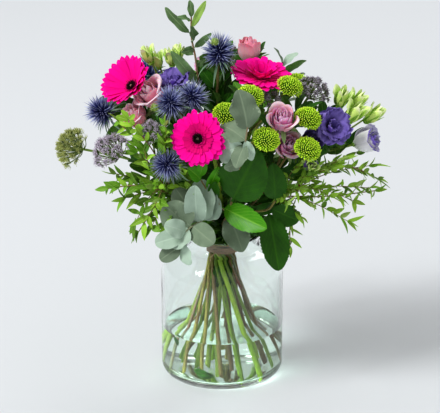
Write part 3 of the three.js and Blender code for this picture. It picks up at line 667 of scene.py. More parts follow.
EYE_FLORET, CENTRE_FLORET = ((0, 0), (0.05, 0.42), (0.8, 0.32), (1, 0)), ((0, 0), (0.3, 0.36), (1, 0))
GERBERA_CUP = ((0, -12.9), (2.6, -12.9), (5.2, -11.0), (8.4, -6.5), (9.2, -3.2), (7.5, -1.6), (0, -1.2))
CUP_BRACTS = ((4.6, -11.6, 0), (6.4, -9.4, 0.5), (7.8, -7.0, 0))  # root, rise and turn
GOLDEN_ANGLE = math.pi * (3 - math.sqrt(5))


def carried(points, at, axis, spin=0.0):
    """Turns points so that their +Z looks along the axis, after a spin round +Z, and moves them to their
    place."""
    axis = unit(axis)
    side = unit(np.cross((1e-3, 0, 1), axis))
    over = np.cross(axis, side)
    turn = np.stack((np.cos(spin) * side + np.sin(spin) * over, np.cos(spin) * over - np.sin(spin) * side,
                     axis))
    return points @ turn + np.asarray(at, float)


def set_up(grids, at, axis, size=1, spin=0.0):
    """Every grid of a head, sized and carried to the head's place."""
    return [(carried(points * size, at, axis, spin), *rest) for points, *rest in grids]


def sheets(points, thick, kind=0):
    """A thin closed skin round each sheet of points: one copy lies half the thickness out along the sheet's
    normal and one as far below it, and both run together at the edges."""
    across, along = np.gradient(points, axis=2), np.gradient(points, axis=1)
    normal = np.cross(across, along)
    normal /= np.linalg.norm(normal, axis=-1, keepdims=True) + 1e-9
    normal[:, [0, -1]] = 0
    normal[:, :, [0, -1]] = 0
    tones = RNG.random(len(points))
    return [(points + normal * thick / 2, kind, tones, 0),
            ((points - normal * thick / 2)[:, :, ::-1], kind, tones, 1)]


def strap(s):
    """A strap petal's half width: narrow at its claw, full from a third up, and rounded to a blunt tip."""
    tip = np.clip(s - 0.84, 0, 1) / 0.165
    return (0.4 + 0.6 * np.clip(s / 0.5, 0, 1)) * np.sqrt(np.clip(1 - tip**2, 0.04, 1))


def lance(s):
    """A narrow pointed blade's half width: a sine lobe that is fullest at a third of the way up."""
    return np.sin(np.pi * np.clip(s, 0, 1) ** 0.7) ** 0.9 + 0.02


def whorl(kind, count, root, length, half, lift, outline=strap, rise=0.0, trough=0.0, notch=0.0, ruffle=0.0,
          turn=0.0, shape=(8, 3), scatter=0.05, thick=0.5):
    """A ring of thin blades round +Z. Each starts on a circle of radius root and climbs at an angle that
    changes from lift[0] to lift[1] degrees, so its reach and height are running sums of cosines and sines.
    Its rows stand closer at the tip. Its half width is half times the outline, its edges stand up by trough,
    its tip's edges are cut back by notch, and its rim waves by ruffle."""
    s = np.sin(np.pi / 2 * np.linspace(0, 1, shape[0]))[None, :, None]
    w = np.linspace(-1, 1, shape[1])[None, None, :]
    bearing = 2 * np.pi * (np.arange(count) + turn + scatter * 2 * RNG.normal(size=count)) / count
    bearing = bearing[:, None, None]
    size = length * (1 + scatter * RNG.normal(size=(count, 1, 1)))
    climb = np.radians(lift[0] + (lift[1] - lift[0]) * s + 45 * scatter * RNG.normal(size=(count, 1, 1)))
    middle = (climb[:, 1:] + climb[:, :-1]) / 2
    start = np.zeros((count, 1, 1))
    step = np.diff(s, axis=1)
    reach = np.concatenate((start, np.cumsum(np.cos(middle) * step, 1)), 1)
    height = np.concatenate((start, np.cumsum(np.sin(middle) * step, 1)), 1)
    cut = 1 - notch * w**2 * s**4
    phase = 2 * np.pi * RNG.random((count, 1, 1))
    wave = ruffle * s**2 * np.sin(3.3 * np.pi * w + phase) * (0.4 + 0.6 * np.abs(w))
    up = trough * half * w**2 * outline(s) + wave
    sideways = w * half * outline(s)
    out = root + size * reach * cut - up * np.sin(climb)
    z = rise + size * height * cut + up * np.cos(climb)
    x = out * np.cos(bearing) - sideways * np.sin(bearing)
    y = out * np.sin(bearing) + sideways * np.cos(bearing)
    return sheets(np.stack(np.broadcast_arrays(x, y, z), axis=-1), thick, kind)


def spikes(kind, at, axis, length, profile, sides=5):
    """Small round bodies, each along its own axis from its own place. The profile is (part of the length,
    radius), with no radius at its two ends, and each point is the place plus axis and two square directions
    times those."""
    at, axis = np.asarray(at, float), unit(axis)
    side = unit(np.cross(axis, (0.31, 0.53, 0.79)))
    over = np.cross(axis, side)
    part, radius = np.asarray(profile, float).T[:, None, :, None, None]
    angle = np.linspace(0, 2 * np.pi, sides + 1)[None, None, :, None]
    ring = np.cos(angle) * side[:, None, None] + np.sin(angle) * over[:, None, None]
    length = np.broadcast_to(length, len(at))[:, None, None, None]
    points = at[:, None, None] + axis[:, None, None] * part * length + radius * ring
    return body(points, kind, RNG.random(len(at)))


def sunflower(count, radius, dome):
    """Places in a sunflower spiral on a shallow dome: the golden angle apart, at radii that grow with square
    roots."""
    k = np.arange(count) + 0.5
    r = np.sqrt(k / count)
    x, y = r * np.cos(k * GOLDEN_ANGLE), r * np.sin(k * GOLDEN_ANGLE)
    return np.stack((radius * x, radius * y, dome * (1 - r**2)), axis=-1)


def petal_skin(name, claw, middle, rim, throat_end=0.25, rim_start=0.75, streak=0.12, rough=0.55, sheen=0.3,
               lines=26.0, under=None, gloss=0.3, glow=0.0):
    """A petal: velvety cells give it a soft sheen and no sharp gloss. The colour runs from the claw through
    the middle to the rim, with fine lengthwise lines, and some petals are lighter than others."""
    material, tree = bare_material(name)
    place = add(tree, "TexCoord", out="Object")
    chart = add(tree, "UVMap", uv_map="blade")
    along = add(tree, "SeparateXYZ", {0: chart}, out=1)
    tone = add(tree, "Attribute", out="Fac", attribute_name="tone")
    blotch = add(tree, "TexNoise", {"Vector": place, "Scale": 160.0, "Detail": 2.0})
    shifted = add(tree, "Math", {0: blotch, 1: 0.22, 2: along}, operation="MULTIPLY_ADD")
    stops = ((0.08, claw), (1.0, rim), (throat_end + 0.1, middle), (rim_start + 0.1, middle))
    colour = add(tree, "ValToRGB", {"Fac": shifted}, stops=stops)
    stretched = add(tree, "Mapping", {"Vector": chart, "Scale": (lines, 1.6, 1.0)})
    fine = add(tree, "TexNoise", {"Vector": stretched, "Scale": 1.0, "Detail": 2.0})
    lined = add(tree, "MapRange", {
        "Value": fine, "From Min": 0.3, "From Max": 0.7, "To Min": 1 - streak, "To Max": 1 + streak,
    })
    lit = add(tree, "MapRange", {"Value": tone, "To Min": 0.86, "To Max": 1.12})
    value = add(tree, "Math", {0: lined, 1: lit}, operation="MULTIPLY")
    shade = add(tree, "HueSaturation", {"Color": colour, "Value": value})
    if under:
        side = add(tree, "Attribute", out="Fac", attribute_name="under")
        back = add(tree, "Math", {0: side, 1: 0.6}, operation="MULTIPLY")
        shade = add(tree, "Mix", {0: back, 6: shade, 7: linear(under)}, 2, data_type="RGBA")
    shader = add(tree, "BsdfPrincipled", {
        "Base Color": shade, "Roughness": rough, "Sheen Weight": sheen, "Sheen Roughness": 0.4,
        "Specular IOR Level": gloss, "Subsurface Weight": glow, "Subsurface Scale": 0.004,
        "Normal": add(tree, "Bump", {"Height": fine, "Strength": 0.35, "Distance": 0.0006}),
    })
    add(tree, "OutputMaterial", {0: shader})
    return material


def spike_skin(name, root, middle, tip, rough=0.6, spread=0.25):
    """Small fleshy or papery parts: the colour runs from root to tip, and each part has its own shade."""
    material, tree = bare_material(name)
    along = add(tree, "SeparateXYZ", {0: add(tree, "UVMap", uv_map="blade")}, out=1)
    tone = add(tree, "Attribute", out="Fac", attribute_name="tone")
    colour = add(tree, "ValToRGB", {"Fac": along}, stops=((0.1, root), (0.95, tip), (0.5, middle)))
    value = add(tree, "MapRange", {"Value": tone, "To Min": 1 - spread, "To Max": 1 + spread})
    shade = add(tree, "HueSaturation", {"Color": colour, "Value": value})
    shader = add(tree, "BsdfPrincipled", {"Base Color": shade, "Roughness": rough, "Specular IOR Level": 0.2})
    add(tree, "OutputMaterial", {0: shader})
    return material


def heads_of(kind):
    """Every head of one kind in the bouquet."""
    return [head for row in FLOWERS.values() for head in row["heads"] if kind_of(head) == kind]


VELVET = {"rough": 0.65, "sheen": 0.03, "gloss": 0.12}
bract_green = spike_skin("green_bract", "#5f8030", "#7fa043", "#93a860")
# Painted shade: the pink petals darken at the claw, and the inner row and the small ring round the eye are a
# darker, redder copy of them.
gerbera_skins = [
    petal_skin("gerbera_pink_petal", "#c40054", "#fc00a0", "#ff1ab8", throat_end=0.12, streak=0.07, **VELVET),
    petal_skin("gerbera_inner_petal_painted_shade", "#8a0038", "#e0007c", "#f4009a", **VELVET),
    spike_skin("gerbera_eye_floret", "#14060c", "#1d0a12", "#3a1420", spread=0.5),
    spike_skin("gerbera_pale_centre", "#3a2420", "#8a6a5a", "#d8c4b0"), bract_green,
]
for head in heads_of("gerbera"):
    name, centre = head[:2]
    lift = np.array(GERBERA_LIFT[name])
    length = (GERBERA_RADIUS - BARE_RADIUS) * (1 / math.cos(math.radians(lift.mean())))
    grids = []
    for layer, (count, root, part, half, rise, turn, steeper) in enumerate(GERBERA_ROWS):
        if layer < 2 or name != "gerbera_left":
            grids += whorl(layer // 2, count, root, part * length, half, lift + steeper, rise=rise,
                           trough=0.22, notch=0.03, turn=turn, shape=(15, 7), scatter=0.045)
    for count, long, lift in TUFT_ROWS if name == TUFTED else ():
        grids += whorl(0, count, EYE_RADIUS, long, 2.6, lift, trough=0.3, shape=(9, 5), scatter=0.08)
    for root, long, lift in EYE_ROWS:
        grids += whorl(1, 34, root, long, 0.9, (lift, lift - 25), rise=-0.5, shape=(6, 3), scatter=0.1,
                       thick=0.4)
    eye = sunflower(EYE_FLORETS, EYE_RADIUS, 1.2)
    lean = eye * (0.09, 0.09, 0) + (0, 0, 1) + 0.12 * RNG.normal(size=eye.shape)
    grids += spikes(2, eye - (0, 0, 0.8), lean, np.linspace(2.6, 4.84, EYE_FLORETS), EYE_FLORET)
    middle = sunflower(CENTRE_FLORETS, 1.5, 0.6) + (0, 0, 1.2)
    grids += spikes(3, middle, np.full(middle.shape, (0, 0, 1.0)), 1.6, CENTRE_FLORET)
    grids += body(lathe(GERBERA_CUP, 24), 4, 0.4)
    for root, rise, turn in CUP_BRACTS:
        grids += whorl(4, 16, root, 9.5, 1.2, (62, 40), outline=lance, rise=rise, turn=turn, shape=(6, 3),
                       thick=0.6)
    grids = set_up(grids, centre, facing(head), GERBERA_SIZE.get(name, 1))
    grown(name + "_bloom", name, grids, gerbera_skins)

# ==== Roses ====
# Spray roses about 36 mm across: seventeen petals wound in a spiral round a high pointed middle, the outer
# ones rolled back at the rim. They are mauve pink and fade to cream and peach at the base, over a green hip
# with sepals.
ROSE_PETALS, OUTERMOST = 17, 13
ROSE_OPEN = {"rose_top": 0.3, "rose_front": 0.75, "rose_low": 1.1, "rose_left": 1.15}
ROSE_GUARDS = ("rose_front", "rose_low")  # their outermost petals are peach
# these two are seen from the side
ROSE_LOOK = {"rose_front": (-0.05, -0.62, 0.78), "rose_low": (0.15, -0.7, 0.6)}
ROSE_SIZE = {"rose_front": 1.08, "rose_top": 1.1, "rose_left": 1.08}
ROSE_BUD, BUD_SUNK = "rose_top", 6  # still shut, and how far it sits down from its place
ROSE_HIP = ((0, -17), (2.0, -16.9), (4.3, -14.5), (4.6, -12), (3.2, -10), (0, -9.5))
ROSE_SPIN = 1.1


def cups(count, inner, outer, low, tops, span=(1.25, 0.85), close=0.5, roll=0.35, peak=0.16, shape=(14, 11)):
    """Petals as cups wound in a spiral: each is a part of a turned surface, the golden angle after the one
    before, with one edge tucked in. The radius swells as a sine up to the belly. Above it the inner petals
    close over the middle, and the outer ones roll back. The rim falls away from its peak by the square of the
    distance across."""
    order = np.linspace(0, 1, count)[:, None, None]
    s = np.linspace(0, 1, shape[0])[None, :, None]
    w = np.linspace(-1, 1, shape[1])[None, None, :]
    jolt = RNG.normal(size=(3, count, 1, 1))
    belly = inner + (outer - inner) * order**0.85
    swell = np.sin(np.pi / 2 * np.clip(s / 0.55, 0, 1)) ** 0.8 * 0.86 + 0.14
    above = np.clip((s - 0.5) / 0.5, 0, 1)
    shut = 1 - close * (1 - order) * above**1.5 * (0.7 + 0.3 * w**2)
    flare = roll * order**1.4 * (1 + 0.25 * jolt[0]) * above**2.6 * belly
    radius = belly * swell * shut * (1 + 0.09 * w) + flare * (1 - 0.35 * w**2)
    top = tops[0] + (tops[1] - tops[0]) * order**1.2 + 0.7 * jolt[1]
    z = low + (top - low) * s * (1 - peak * np.abs(w) ** 2.2) - flare * 0.55 * above
    bearing = GOLDEN_ANGLE * np.arange(count)[:, None, None] + 0.12 * jolt[2]
    narrow = 1 - 0.55 * (1 - np.clip(s / 0.5, 0, 1)) ** 2 - 0.42 * np.clip((s - 0.72) / 0.28, 0, 1) ** 2.2
    bearing = bearing + w * (span[0] + (span[1] - span[0]) * order) * narrow
    return np.stack(np.broadcast_arrays(radius * np.cos(bearing), radius * np.sin(bearing), z), axis=-1)


SATIN = {"lines": 14, "rough": 0.5, "sheen": 0.1, "glow": 0.3}
mauve_rose = petal_skin("mauve_rose_petal", "#ffe2e0", "#f2a4d0", "#fdd4ee", throat_end=0.24, streak=0.04,
                        under="#f8cce6", **SATIN)
peach_rose = petal_skin("peach_rose_petal", "#ffe6d8", "#ffb0c6", "#ffd8e4", throat_end=0.3, streak=0.04,
                        under="#ffdce2", **SATIN)
pink_rose = petal_skin("pink_rose_petal", "#fdecd6", "#fbb8c6", "#f6a2b8", streak=0.05, under="#fcc8d2",
                       **SATIN)
sepal_green = leaf_skin("rose_sepal", ("#5f8a35", "#7ba048"), "#9ab57a", "#86a860")
ROSE_SKINS = {"rose_top": pink_rose, "rose_left": peach_rose, "rose_far_left": peach_rose}
for head in heads_of("rose"):
    name, centre = head[:2]
    shut = name == ROSE_BUD
    openness = ROSE_OPEN.get(name, 0.9)
    petals = cups(ROSE_PETALS, 1.6, 12.5 + 4 * openness, -14.5, (17.5, 13.5 - 3 * openness),
                  roll=0.5 * openness, close=0.85 if shut else 0.5, peak=0.08 if shut else 0.16)
    grids = sheets(petals[:OUTERMOST], 0.45)
    grids += sheets(petals[OUTERMOST:], 0.45, 2 if name in ROSE_GUARDS else 0)
    grids += body(lathe(ROSE_HIP, 20), 1)
    grids += whorl(1, 5, 3.6, 17, 2.9, (10, -55), outline=lance, rise=-13.5, trough=0.3, shape=(9, 5))
    look = unit(ROSE_LOOK.get(name, facing(head)))
    grids = set_up(grids, centre - look * BUD_SUNK * shut, look, ROSE_SIZE.get(name, 1), ROSE_SPIN)
    grown(name + "_bloom", name, grids,
          [ROSE_SKINS.get(name, mauve_rose), sepal_green, peach_rose])

# ==== Green button chrysanthemums ====
# Santini buttons, 35 mm across: a tight dome of a few hundred incurved tongues over a cup of green bracts.
# The
# tongues run from deep green at the root to pale lime at the tip, and the dome under them is near black
# green:
# the lime tips are partly their own colour and partly painted light, and the deep green is painted shade
# between the tongues.
BUTTON_FLORETS, BUTTON_FALL = 300, 2.05  # the florets go round the dome as far as this angle from its top
BUTTON_BODY = (12.6, 8.4)  # half width and height of the dome under the florets
BUTTON_FLORET = ((0, 0), (0.02, 0.45), (0.6, 0.64), (0.86, 0.9), (1, 0.4), (1.0, 0))
BUTTON_NECK = ((0, -12.9), (2.2, -12.9), (6.0, -9.5))
UP = np.array((0, 0, 1.0))


def around(bearing):
    """Directions square to +Z: the cosines and sines of the bearings."""
    return np.stack((np.cos(bearing), np.sin(bearing), np.zeros(len(bearing))), -1)


# Painted light and shade: the tongues pale to lime at the tip where light falls and deep green at the root,
# and the dome under them is painted near black green as the shade between them.
button_skins = [
    spike_skin("button_floret", "#488208", "#b8ec1c", "#f6ff70", rough=0.5, spread=0.2),
    spike_skin("button_heart_painted_shade", "#1c4604", "#245406", "#2c6008"), bract_green,
]
for head in heads_of("santini"):
    # Florets stand on an ellipsoid: they fall away from its top, the golden angle apart, and lean from its
    # normal towards the top, and the outer ones are longer.
    name, centre = head[:2]
    k = (np.arange(BUTTON_FLORETS) + 0.5) / BUTTON_FLORETS
    polar = (BUTTON_FALL * k**0.56)[:, None]
    ring = around(GOLDEN_ANGLE * np.arange(BUTTON_FLORETS))
    wide, tall = BUTTON_BODY
    at = ring * wide * np.sin(polar) + UP * tall * np.cos(polar)
    normal = unit(ring * np.sin(polar) / wide + UP * np.cos(polar) / tall)
    axis = unit(normal + 0.25 * UP + 0.11 * RNG.normal(size=normal.shape))
    long = 4.6 + 1.5 * k + 0.5 * RNG.normal(size=BUTTON_FLORETS)
    grids = spikes(0, at - axis, axis, long, BUTTON_FLORET)
    grids += body(lathe(np.concatenate((BUTTON_NECK, arc((0, 0), BUTTON_BODY, -35, 90, 10))), 20), 1)
    for root, rise in ((4.5, -11), (7.5, -8.5)):
        grids += whorl(2, 14, root, 8.5, 1.4, (50, 35), outline=lance, rise=rise, shape=(5, 3))
    grown(name + "_button", name, set_up(grids, centre, facing(head) + UP), button_skins)

# ==== Thistles ====
# Blue sea-holly thistles, 38 mm across: an egg of tiny florets that bristles with stiff steel-blue spines,
# silver at the tips, on a collar of narrow spiny bracts that hang down. Some carry a small green bud on a
# stalk of its own.
THISTLE_SPINES, THISTLE_FLORETS, BUD_SPINES = 240, 420, 70
THISTLE_CORE, BUD_CORE = (6.6, 10.5), (3.0, 4.2)
SPINE, BUD_SPINE = ((0, 0), (0.03, 0.7), (0.5, 0.5), (1, 0)), ((0, 0), (0.05, 0.5), (0.5, 0.35), (1, 0))
THISTLE_FLORET = ((0, 0), (0.2, 0.62), (0.8, 0.5), (1, 0))
THISTLE_NECK = ((0, -13), (1.9, -13), (3.2, -11), (4.5, -8.5), (0, -7))
COLLAR = ((9, (0, -70), 28), (10, (30, -25), 23))  # count, lift and length
THISTLE_BUDS = {"thistle_top": (-9, -68, 464), "thistle_middle": (-82, -100, 390),
                "thistle_back": (-84, 76, 404)}
THISTLE_TALL = {"thistle_top": 1.3}  # how much longer than wide its egg has grown


def bristles(count, core, low):
    """Places, directions and share of the full width all over an egg: heights fall evenly, bearings go by the
    golden angle, and each direction is the egg's normal with a lift towards its top."""
    height = (1 - (np.arange(count) + 0.5) / count * (1 - low))[:, None]
    wide = np.sqrt(1 - height**2)
    ring = around(GOLDEN_ANGLE * np.arange(count))
    at = ring * core[0] * wide + UP * core[1] * height
    normal = unit(ring * wide / core[0] + UP * height / core[1])
    axis = unit(normal + UP * 0.25 + 0.14 * RNG.normal(size=(count, 3)))
    return at, axis, (0.72 + 0.5 * RNG.random(count)) * (0.75 + 0.35 * wide[:, 0])


thistle_skins = [
    spike_skin("thistle_spine", "#1c1f50", "#535b9e", "#c8cfe8", rough=0.45, spread=0.45),
    spike_skin("thistle_floret", "#15173c", "#262a62", "#464c92", spread=0.4),
    spike_skin("thistle_bract", "#4f6f54", "#7d9880", "#b3c4ae"),
    spike_skin("thistle_green_bud", "#7f9a40", "#a9c268", "#c8da96"),
]
for head in heads_of("thistle"):
    name, centre = head[:2]
    at, axis, share = bristles(THISTLE_SPINES, THISTLE_CORE, -0.75)
    grids = spikes(0, at, axis, 14.6 * share, SPINE, 4)
    at, axis, _ = bristles(THISTLE_FLORETS, THISTLE_CORE, -0.8)
    grids += spikes(1, at - axis * 0.6, axis, 2.6, THISTLE_FLORET, 4)
    grids += body(lathe(arc((0, 0), THISTLE_CORE, -90, 90, 14), 18), 1, 0.3)
    grids += body(lathe(THISTLE_NECK, 14), 2)
    for count, lift, long in COLLAR:
        grids += whorl(2, count, 3.0, long, 1.6, lift, outline=lance, rise=-9, trough=0.5, scatter=0.12)
    grids = set_up(grids, centre, facing(head), (1, 1, THISTLE_TALL.get(name, 1.1)))
    if name in THISTLE_BUDS:
        young, old = np.array(THISTLE_BUDS[name]), np.array(centre)
        at, axis, share = bristles(BUD_SPINES, BUD_CORE, -0.6)
        grids += spikes(3, at + young, axis, 3.0 * share, BUD_SPINE, 4)
        grids += body(lathe(arc((0, 0), (3.2, 4.4), -90, 90, 8), 12) + young, 3)
        stalk = smooth_curve([young, (young + old) / 2 - (0, 0, 4), old - (0, 0, 8)], 12)
        grids += body(tube(stalk, 0.8, 6), 2)
    grown(name + "_head", name, grids, thistle_skins)

# ==== Lisianthus ====
# Two open flowers of broad thin petals with ruffled rims, violet over a near black throat, which is the
# petals' own deeper violet there and painted shade in the hollow of the flower; two that are still furled,
# one of them pale with a violet rim; and pale yellow-green buds with narrow sepals.
OPEN_ROWS = (  # count, length, half width, lift, rise and turn
    (5, 32, 13.5, (86, -4), -16.5, 0.0), (5, 30, 12.5, (88, 16), -15.5, 0.5),
    (3, 22, 9.5, (92, 58), -14.5, 0.2),
)
OPEN_FORMS = {"lisianthus_left": (0.9, (5, 0, -7))}  # size, and how far the bloom nods from its place
OPEN_BASE = ((0, -19), (1.8, -19), (3.0, -17), (3.2, -15.5), (0, -14.5))
FURLED_BASE = ((0, -18), (1.6, -18), (3.0, -16), (4.4, -13), (0, -11))
FURLED_SHAPE, RIM_WAVE = (14, 15), (0.35, 0.35, 0.42)
PALE = "lisianthus_closed"
VIOLET_BUD = (106, -86, 316, 8.5)  # a violet bud half hidden under the low green button
BUD_SWELL, BUD_DROP = 1.06, 3  # a bud's petals stand out past its body, and it sits down on its stalk
BUD_BASE = np.array(((0, -1.25), (0.25, -1.2), (0.5, -0.9), (0, -0.4)))


def fan(s):
    """A fan petal's half width: a narrow claw that opens by a sine to a broad round rim."""
    rim = np.sqrt(np.clip(1 - (np.clip(s - 0.7, 0, 1) / 0.36) ** 2, 0, 1))
    return np.sin(np.pi / 2 * np.clip(s / 0.7, 0, 1)) ** 1.2 * rim + 0.05


# The violet petal runs to near black at its claw: painted shade in the throat, over the petal's own deeper
# violet.
violet_petal = petal_skin("violet_lisianthus_petal", "#1a0c30", "#6b50a6", "#9682ce", throat_end=0.5,
                          rim_start=0.82, streak=0.1, lines=30, under="#8a7cc4", sheen=0.1)
pale_petal = petal_skin("pale_lisianthus_petal", "#eef0de", "#f0eef4", "#7c68c0", throat_end=0.3,
                        rim_start=0.84, streak=0.06, lines=20, under="#dcdce6", sheen=0.1)
bud_petal = petal_skin("lisianthus_bud_petal", "#bcec58", "#e2fa90", "#f8fdcc", streak=0.05, under="#d4f290",
                       sheen=0.1)
bud_sepal = leaf_skin("lisianthus_sepal", ("#84b838", "#a2d050"), "#a8d064", "#b8dc78")
for head in heads_of("lisianthus"):
    name, centre = head[:2]
    grids = []
    for count, long, half, lift, rise, turn in OPEN_ROWS:
        grids += whorl(0, count, 2.4, long, half, lift, outline=fan, rise=rise, trough=0.35, ruffle=2.9,
                       turn=turn, shape=(15, 15), scatter=0.035, thick=0.4)
    grids += body(lathe(OPEN_BASE, 16), 1)
    grids += whorl(1, 5, 2.6, 15, 1.0, (75, 55), outline=lance, rise=-17.5, shape=(7, 3))
    size, nod = OPEN_FORMS.get(name, (1, (0, 0, 0)))
    grids = set_up(grids, np.array(centre) + nod, facing(head), size)
    grown(name + "_bloom", name, grids, [violet_petal, bud_sepal])
for head in heads_of("furled"):
    # The rim of a furled petal waves by nine half turns of a sine, more and more towards the top.
    name, centre = head[:2]
    along, across = (np.linspace(0, 1, count) for count in FURLED_SHAPE)
    wave = along[:, None] ** 4 * np.sin(9 * np.pi * across)
    petals = cups(9, 2.5, 14.0, -16, (17, 13), span=(1.7, 1.3), close=0.3, peak=0.1, shape=FURLED_SHAPE)
    grids = sheets(petals + wave[..., None] * RIM_WAVE, 0.4)
    grids += body(lathe(FURLED_BASE, 16), 1)
    grids += whorl(1, 5, 2.6, 18, 1.1, (62, 78), outline=lance, rise=-16.5)
    slot, skin, size = ("pale", pale_petal, 1.1) if name == PALE else ("petal", violet_petal, 1)
    grown(name + "_bloom", name, set_up(grids, centre, facing(head), size),
          [skin, bud_sepal])
for stem_name, row in FLOWERS.items():
    violet = [VIOLET_BUD] if stem_name == "lisianthus_stem_right" else []
    for bud in row.get("buds", []) + violet:
        x, y, z, size = bud
        centre = np.array((x, y, z - BUD_DROP))
        size *= BUD_SWELL
        axis = centre - row["fork"] + (0, 0, 12) + 6 * RNG.normal(size=3)
        petals = cups(7, 0.25 * size, 0.92 * size, -size, (1.9 * size, 1.75 * size), span=(1.4, 0.9),
                      close=0.6, roll=0.6, peak=0.3, shape=(12, 9))
        grids = sheets(petals, 0.4) + body(lathe(size * BUD_BASE, 14), 1)
        grids += whorl(1, 5, 0.4 * size, 2.3 * size, 0.2 * size, (70, 78), outline=lance, rise=-size,
                       thick=0.4)
        grown(f"lisianthus_bud_{x}_{z}", None, set_up(grids, centre, axis),
              [violet_petal if bud in violet else bud_petal, bud_sepal])

# ==== Clusters of tiny flowers ====
# Domes of throatwort, whose hundreds of bead-like buds and hair-fine styles stand on a fan of branching
# stalks, and the round olive umbel of a wild parsley. The beads are drawn 1 to 1.7 mm across, so that they
# show.
DOME_SIZE = 46  # a dome of this size has the full number of beads, lumps and hairs
CLUSTER_HAIR = ((0, 0), (0.05, 0.22), (0.9, 0.2), (1, 0))
CLUSTER_STALK = ((0, 0), (0.02, 0.22), (0.95, 0.2), (1, 0))
HAIR_LENGTH, FAN_STEPS, FEWEST_LUMPS = 4.4, 8, 9


def cluster(size, beads, lumps, bead, hairs):
    """The grids of one dome. Beads stand over it in a sunflower spiral, and each is drawn towards the nearest
    of a few lumps, which stand up from the dome. Hairs stand out beyond the beads, and a fan of stalks runs
    from under the dome to the lumps and on to the beads."""
    at = sunflower(beads, size / 2, 0.375 * size)
    heart = sunflower(lumps, 0.465 * size, 0.36 * size)
    heart = heart * (1.06 + 0.14 * RNG.normal(size=(lumps, 1))) + 2.8 * RNG.normal(size=heart.shape)
    gap = np.linalg.norm(at[:, None] - heart[None], axis=-1)
    near = heart[gap.argmin(1)]
    at = at + (near - at) * 0.42 + 0.6 * RNG.normal(size=at.shape)
    at[:, 2] += 2.4 - 0.35 * gap.min(1) ** 1.3
    root = np.array((0, 0, -size / 4))
    out = unit(at - root)
    profile = ((0, 0), (0.15, 0.6 * bead), (0.5, bead), (0.85, 0.6 * bead), (1, 0))
    grids = spikes(1, at, out, 2 * bead, profile)
    pick = RNG.choice(beads, hairs, replace=False)
    grids += spikes(2, at[pick], out[pick] + 0.35 * RNG.normal(size=(hairs, 3)), HAIR_LENGTH, CLUSTER_HAIR, 3)
    stalk = at - near + out * 4.2
    grids += spikes(3, near + (at - near) * 0.1 - out * 4, stalk, np.linalg.norm(stalk, axis=1),
                    CLUSTER_STALK, 3)
    bend = np.linspace(0, 1, FAN_STEPS)[:, None]
    for end in heart:
        sag = 0.12 * np.linalg.norm(end[:2]) * np.sin(np.pi * bend) * UP
        path = root + (end - unit(end - root) * 2.5 - root) * bend - sag
        grids += body(tube(path, np.linspace(0.75, 0.45, FAN_STEPS), 5), 3)
    return grids


umbel_bead = spike_skin("umbel_bud", "#929e50", "#bac274", "#dee0ae", spread=0.35)
cluster_stalk = spike_skin("cluster_stalk", "#6c8446", "#7e9352", "#8fa262")
lilac_bead = spike_skin("throatwort_bud", "#868c60", "#aea2b2", "#dcd2de", spread=0.45)
lilac_style = spike_skin("throatwort_style", "#b4aabe", "#ccc4d4", "#f0ecf2")
# A darker copy of the lilac throatwort's buds and styles, for the right-hand domes that sit in shadow among
# the heads: painted shade.
shaded_bead = spike_skin("throatwort_painted_shade_bud", "#5c6246", "#86827e", "#bcb4c4", spread=0.45)
shaded_style = spike_skin("throatwort_painted_shade_style", "#7a7488", "#968fa6", "#c4bed0")
# slot, skins of the beads and hairs, then the numbers of beads and lumps, a bead's radius, and the hairs
CLUSTERS = {
    "trachelium_left": ("trachelium_head", lilac_bead, lilac_style, 1300, 46, 0.72, 700),
    "trachelium_right": ("trachelium_head", shaded_bead, shaded_style, 1250, 36, 0.85, 260),
    "wild_umbel": ("umbel_head", umbel_bead, umbel_bead, 1300, 44, 0.5, 1150),
}
CLUSTER_LOOKS = {"wild_umbel": (-1.0, -0.45, 0.55)}  # the umbel hangs over to the left
for stem in stems:
    name = stem["name"]
    if name in CLUSTERS:
        slot, bead_skin, hair_skin, beads, lumps, bead, hairs = CLUSTERS[name]
        grids = stem_tubes(stem, 2.4, 1.5, 1.2)
        for *centre, size in stem["domes"]:
            share = (size / DOME_SIZE) ** 2
            axis = CLUSTER_LOOKS.get(name, unit(centre - OUTWARD_FROM) + UP)
            dome = cluster(size, int(beads * share), max(FEWEST_LUMPS, int(lumps * share)), bead,
                           int(hairs * share))
            grids += set_up(dome, centre, axis)
        grown(name + "_cluster", name, grids, [green_stem, bead_skin, hair_skin, cluster_stalk])

# ==== Eucalyptus ====
# Silver-dollar eucalyptus: stiff round to spear-shaped leaves with a waxy silver bloom, a pale rim and a fine
# pale midrib, on thin red-brown twigs.


def oval(s):
    """A short-stalked oval leaf's half width: a thin stalk, then a root of a parabola with a small point."""
    t = np.clip((s - 0.08) / 0.92, 0, 1)
    return np.where(s < 0.07, 0.05, (4 * t * (1 - t)) ** 0.6 * (1 - 0.12 * t) + 0.03)


def silver_dollar(s):
    """A round eucalyptus leaf's half width: a short stalk, then nearly a circle, the root of a parabola."""
    t = np.clip((s - 0.05) / 0.95, 0, 1)
    return np.where(s < 0.05, 0.05, (4 * t * (1 - t)) ** 0.48 * (1.06 - 0.16 * t) + 0.03)


def spear(s):
    """A spear-shaped eucalyptus leaf's half width: a sine lobe that is fullest below the middle and
    pointed."""
    return np.sin(np.pi * np.clip(s, 0, 1) ** 0.88) ** 0.62 + 0.03


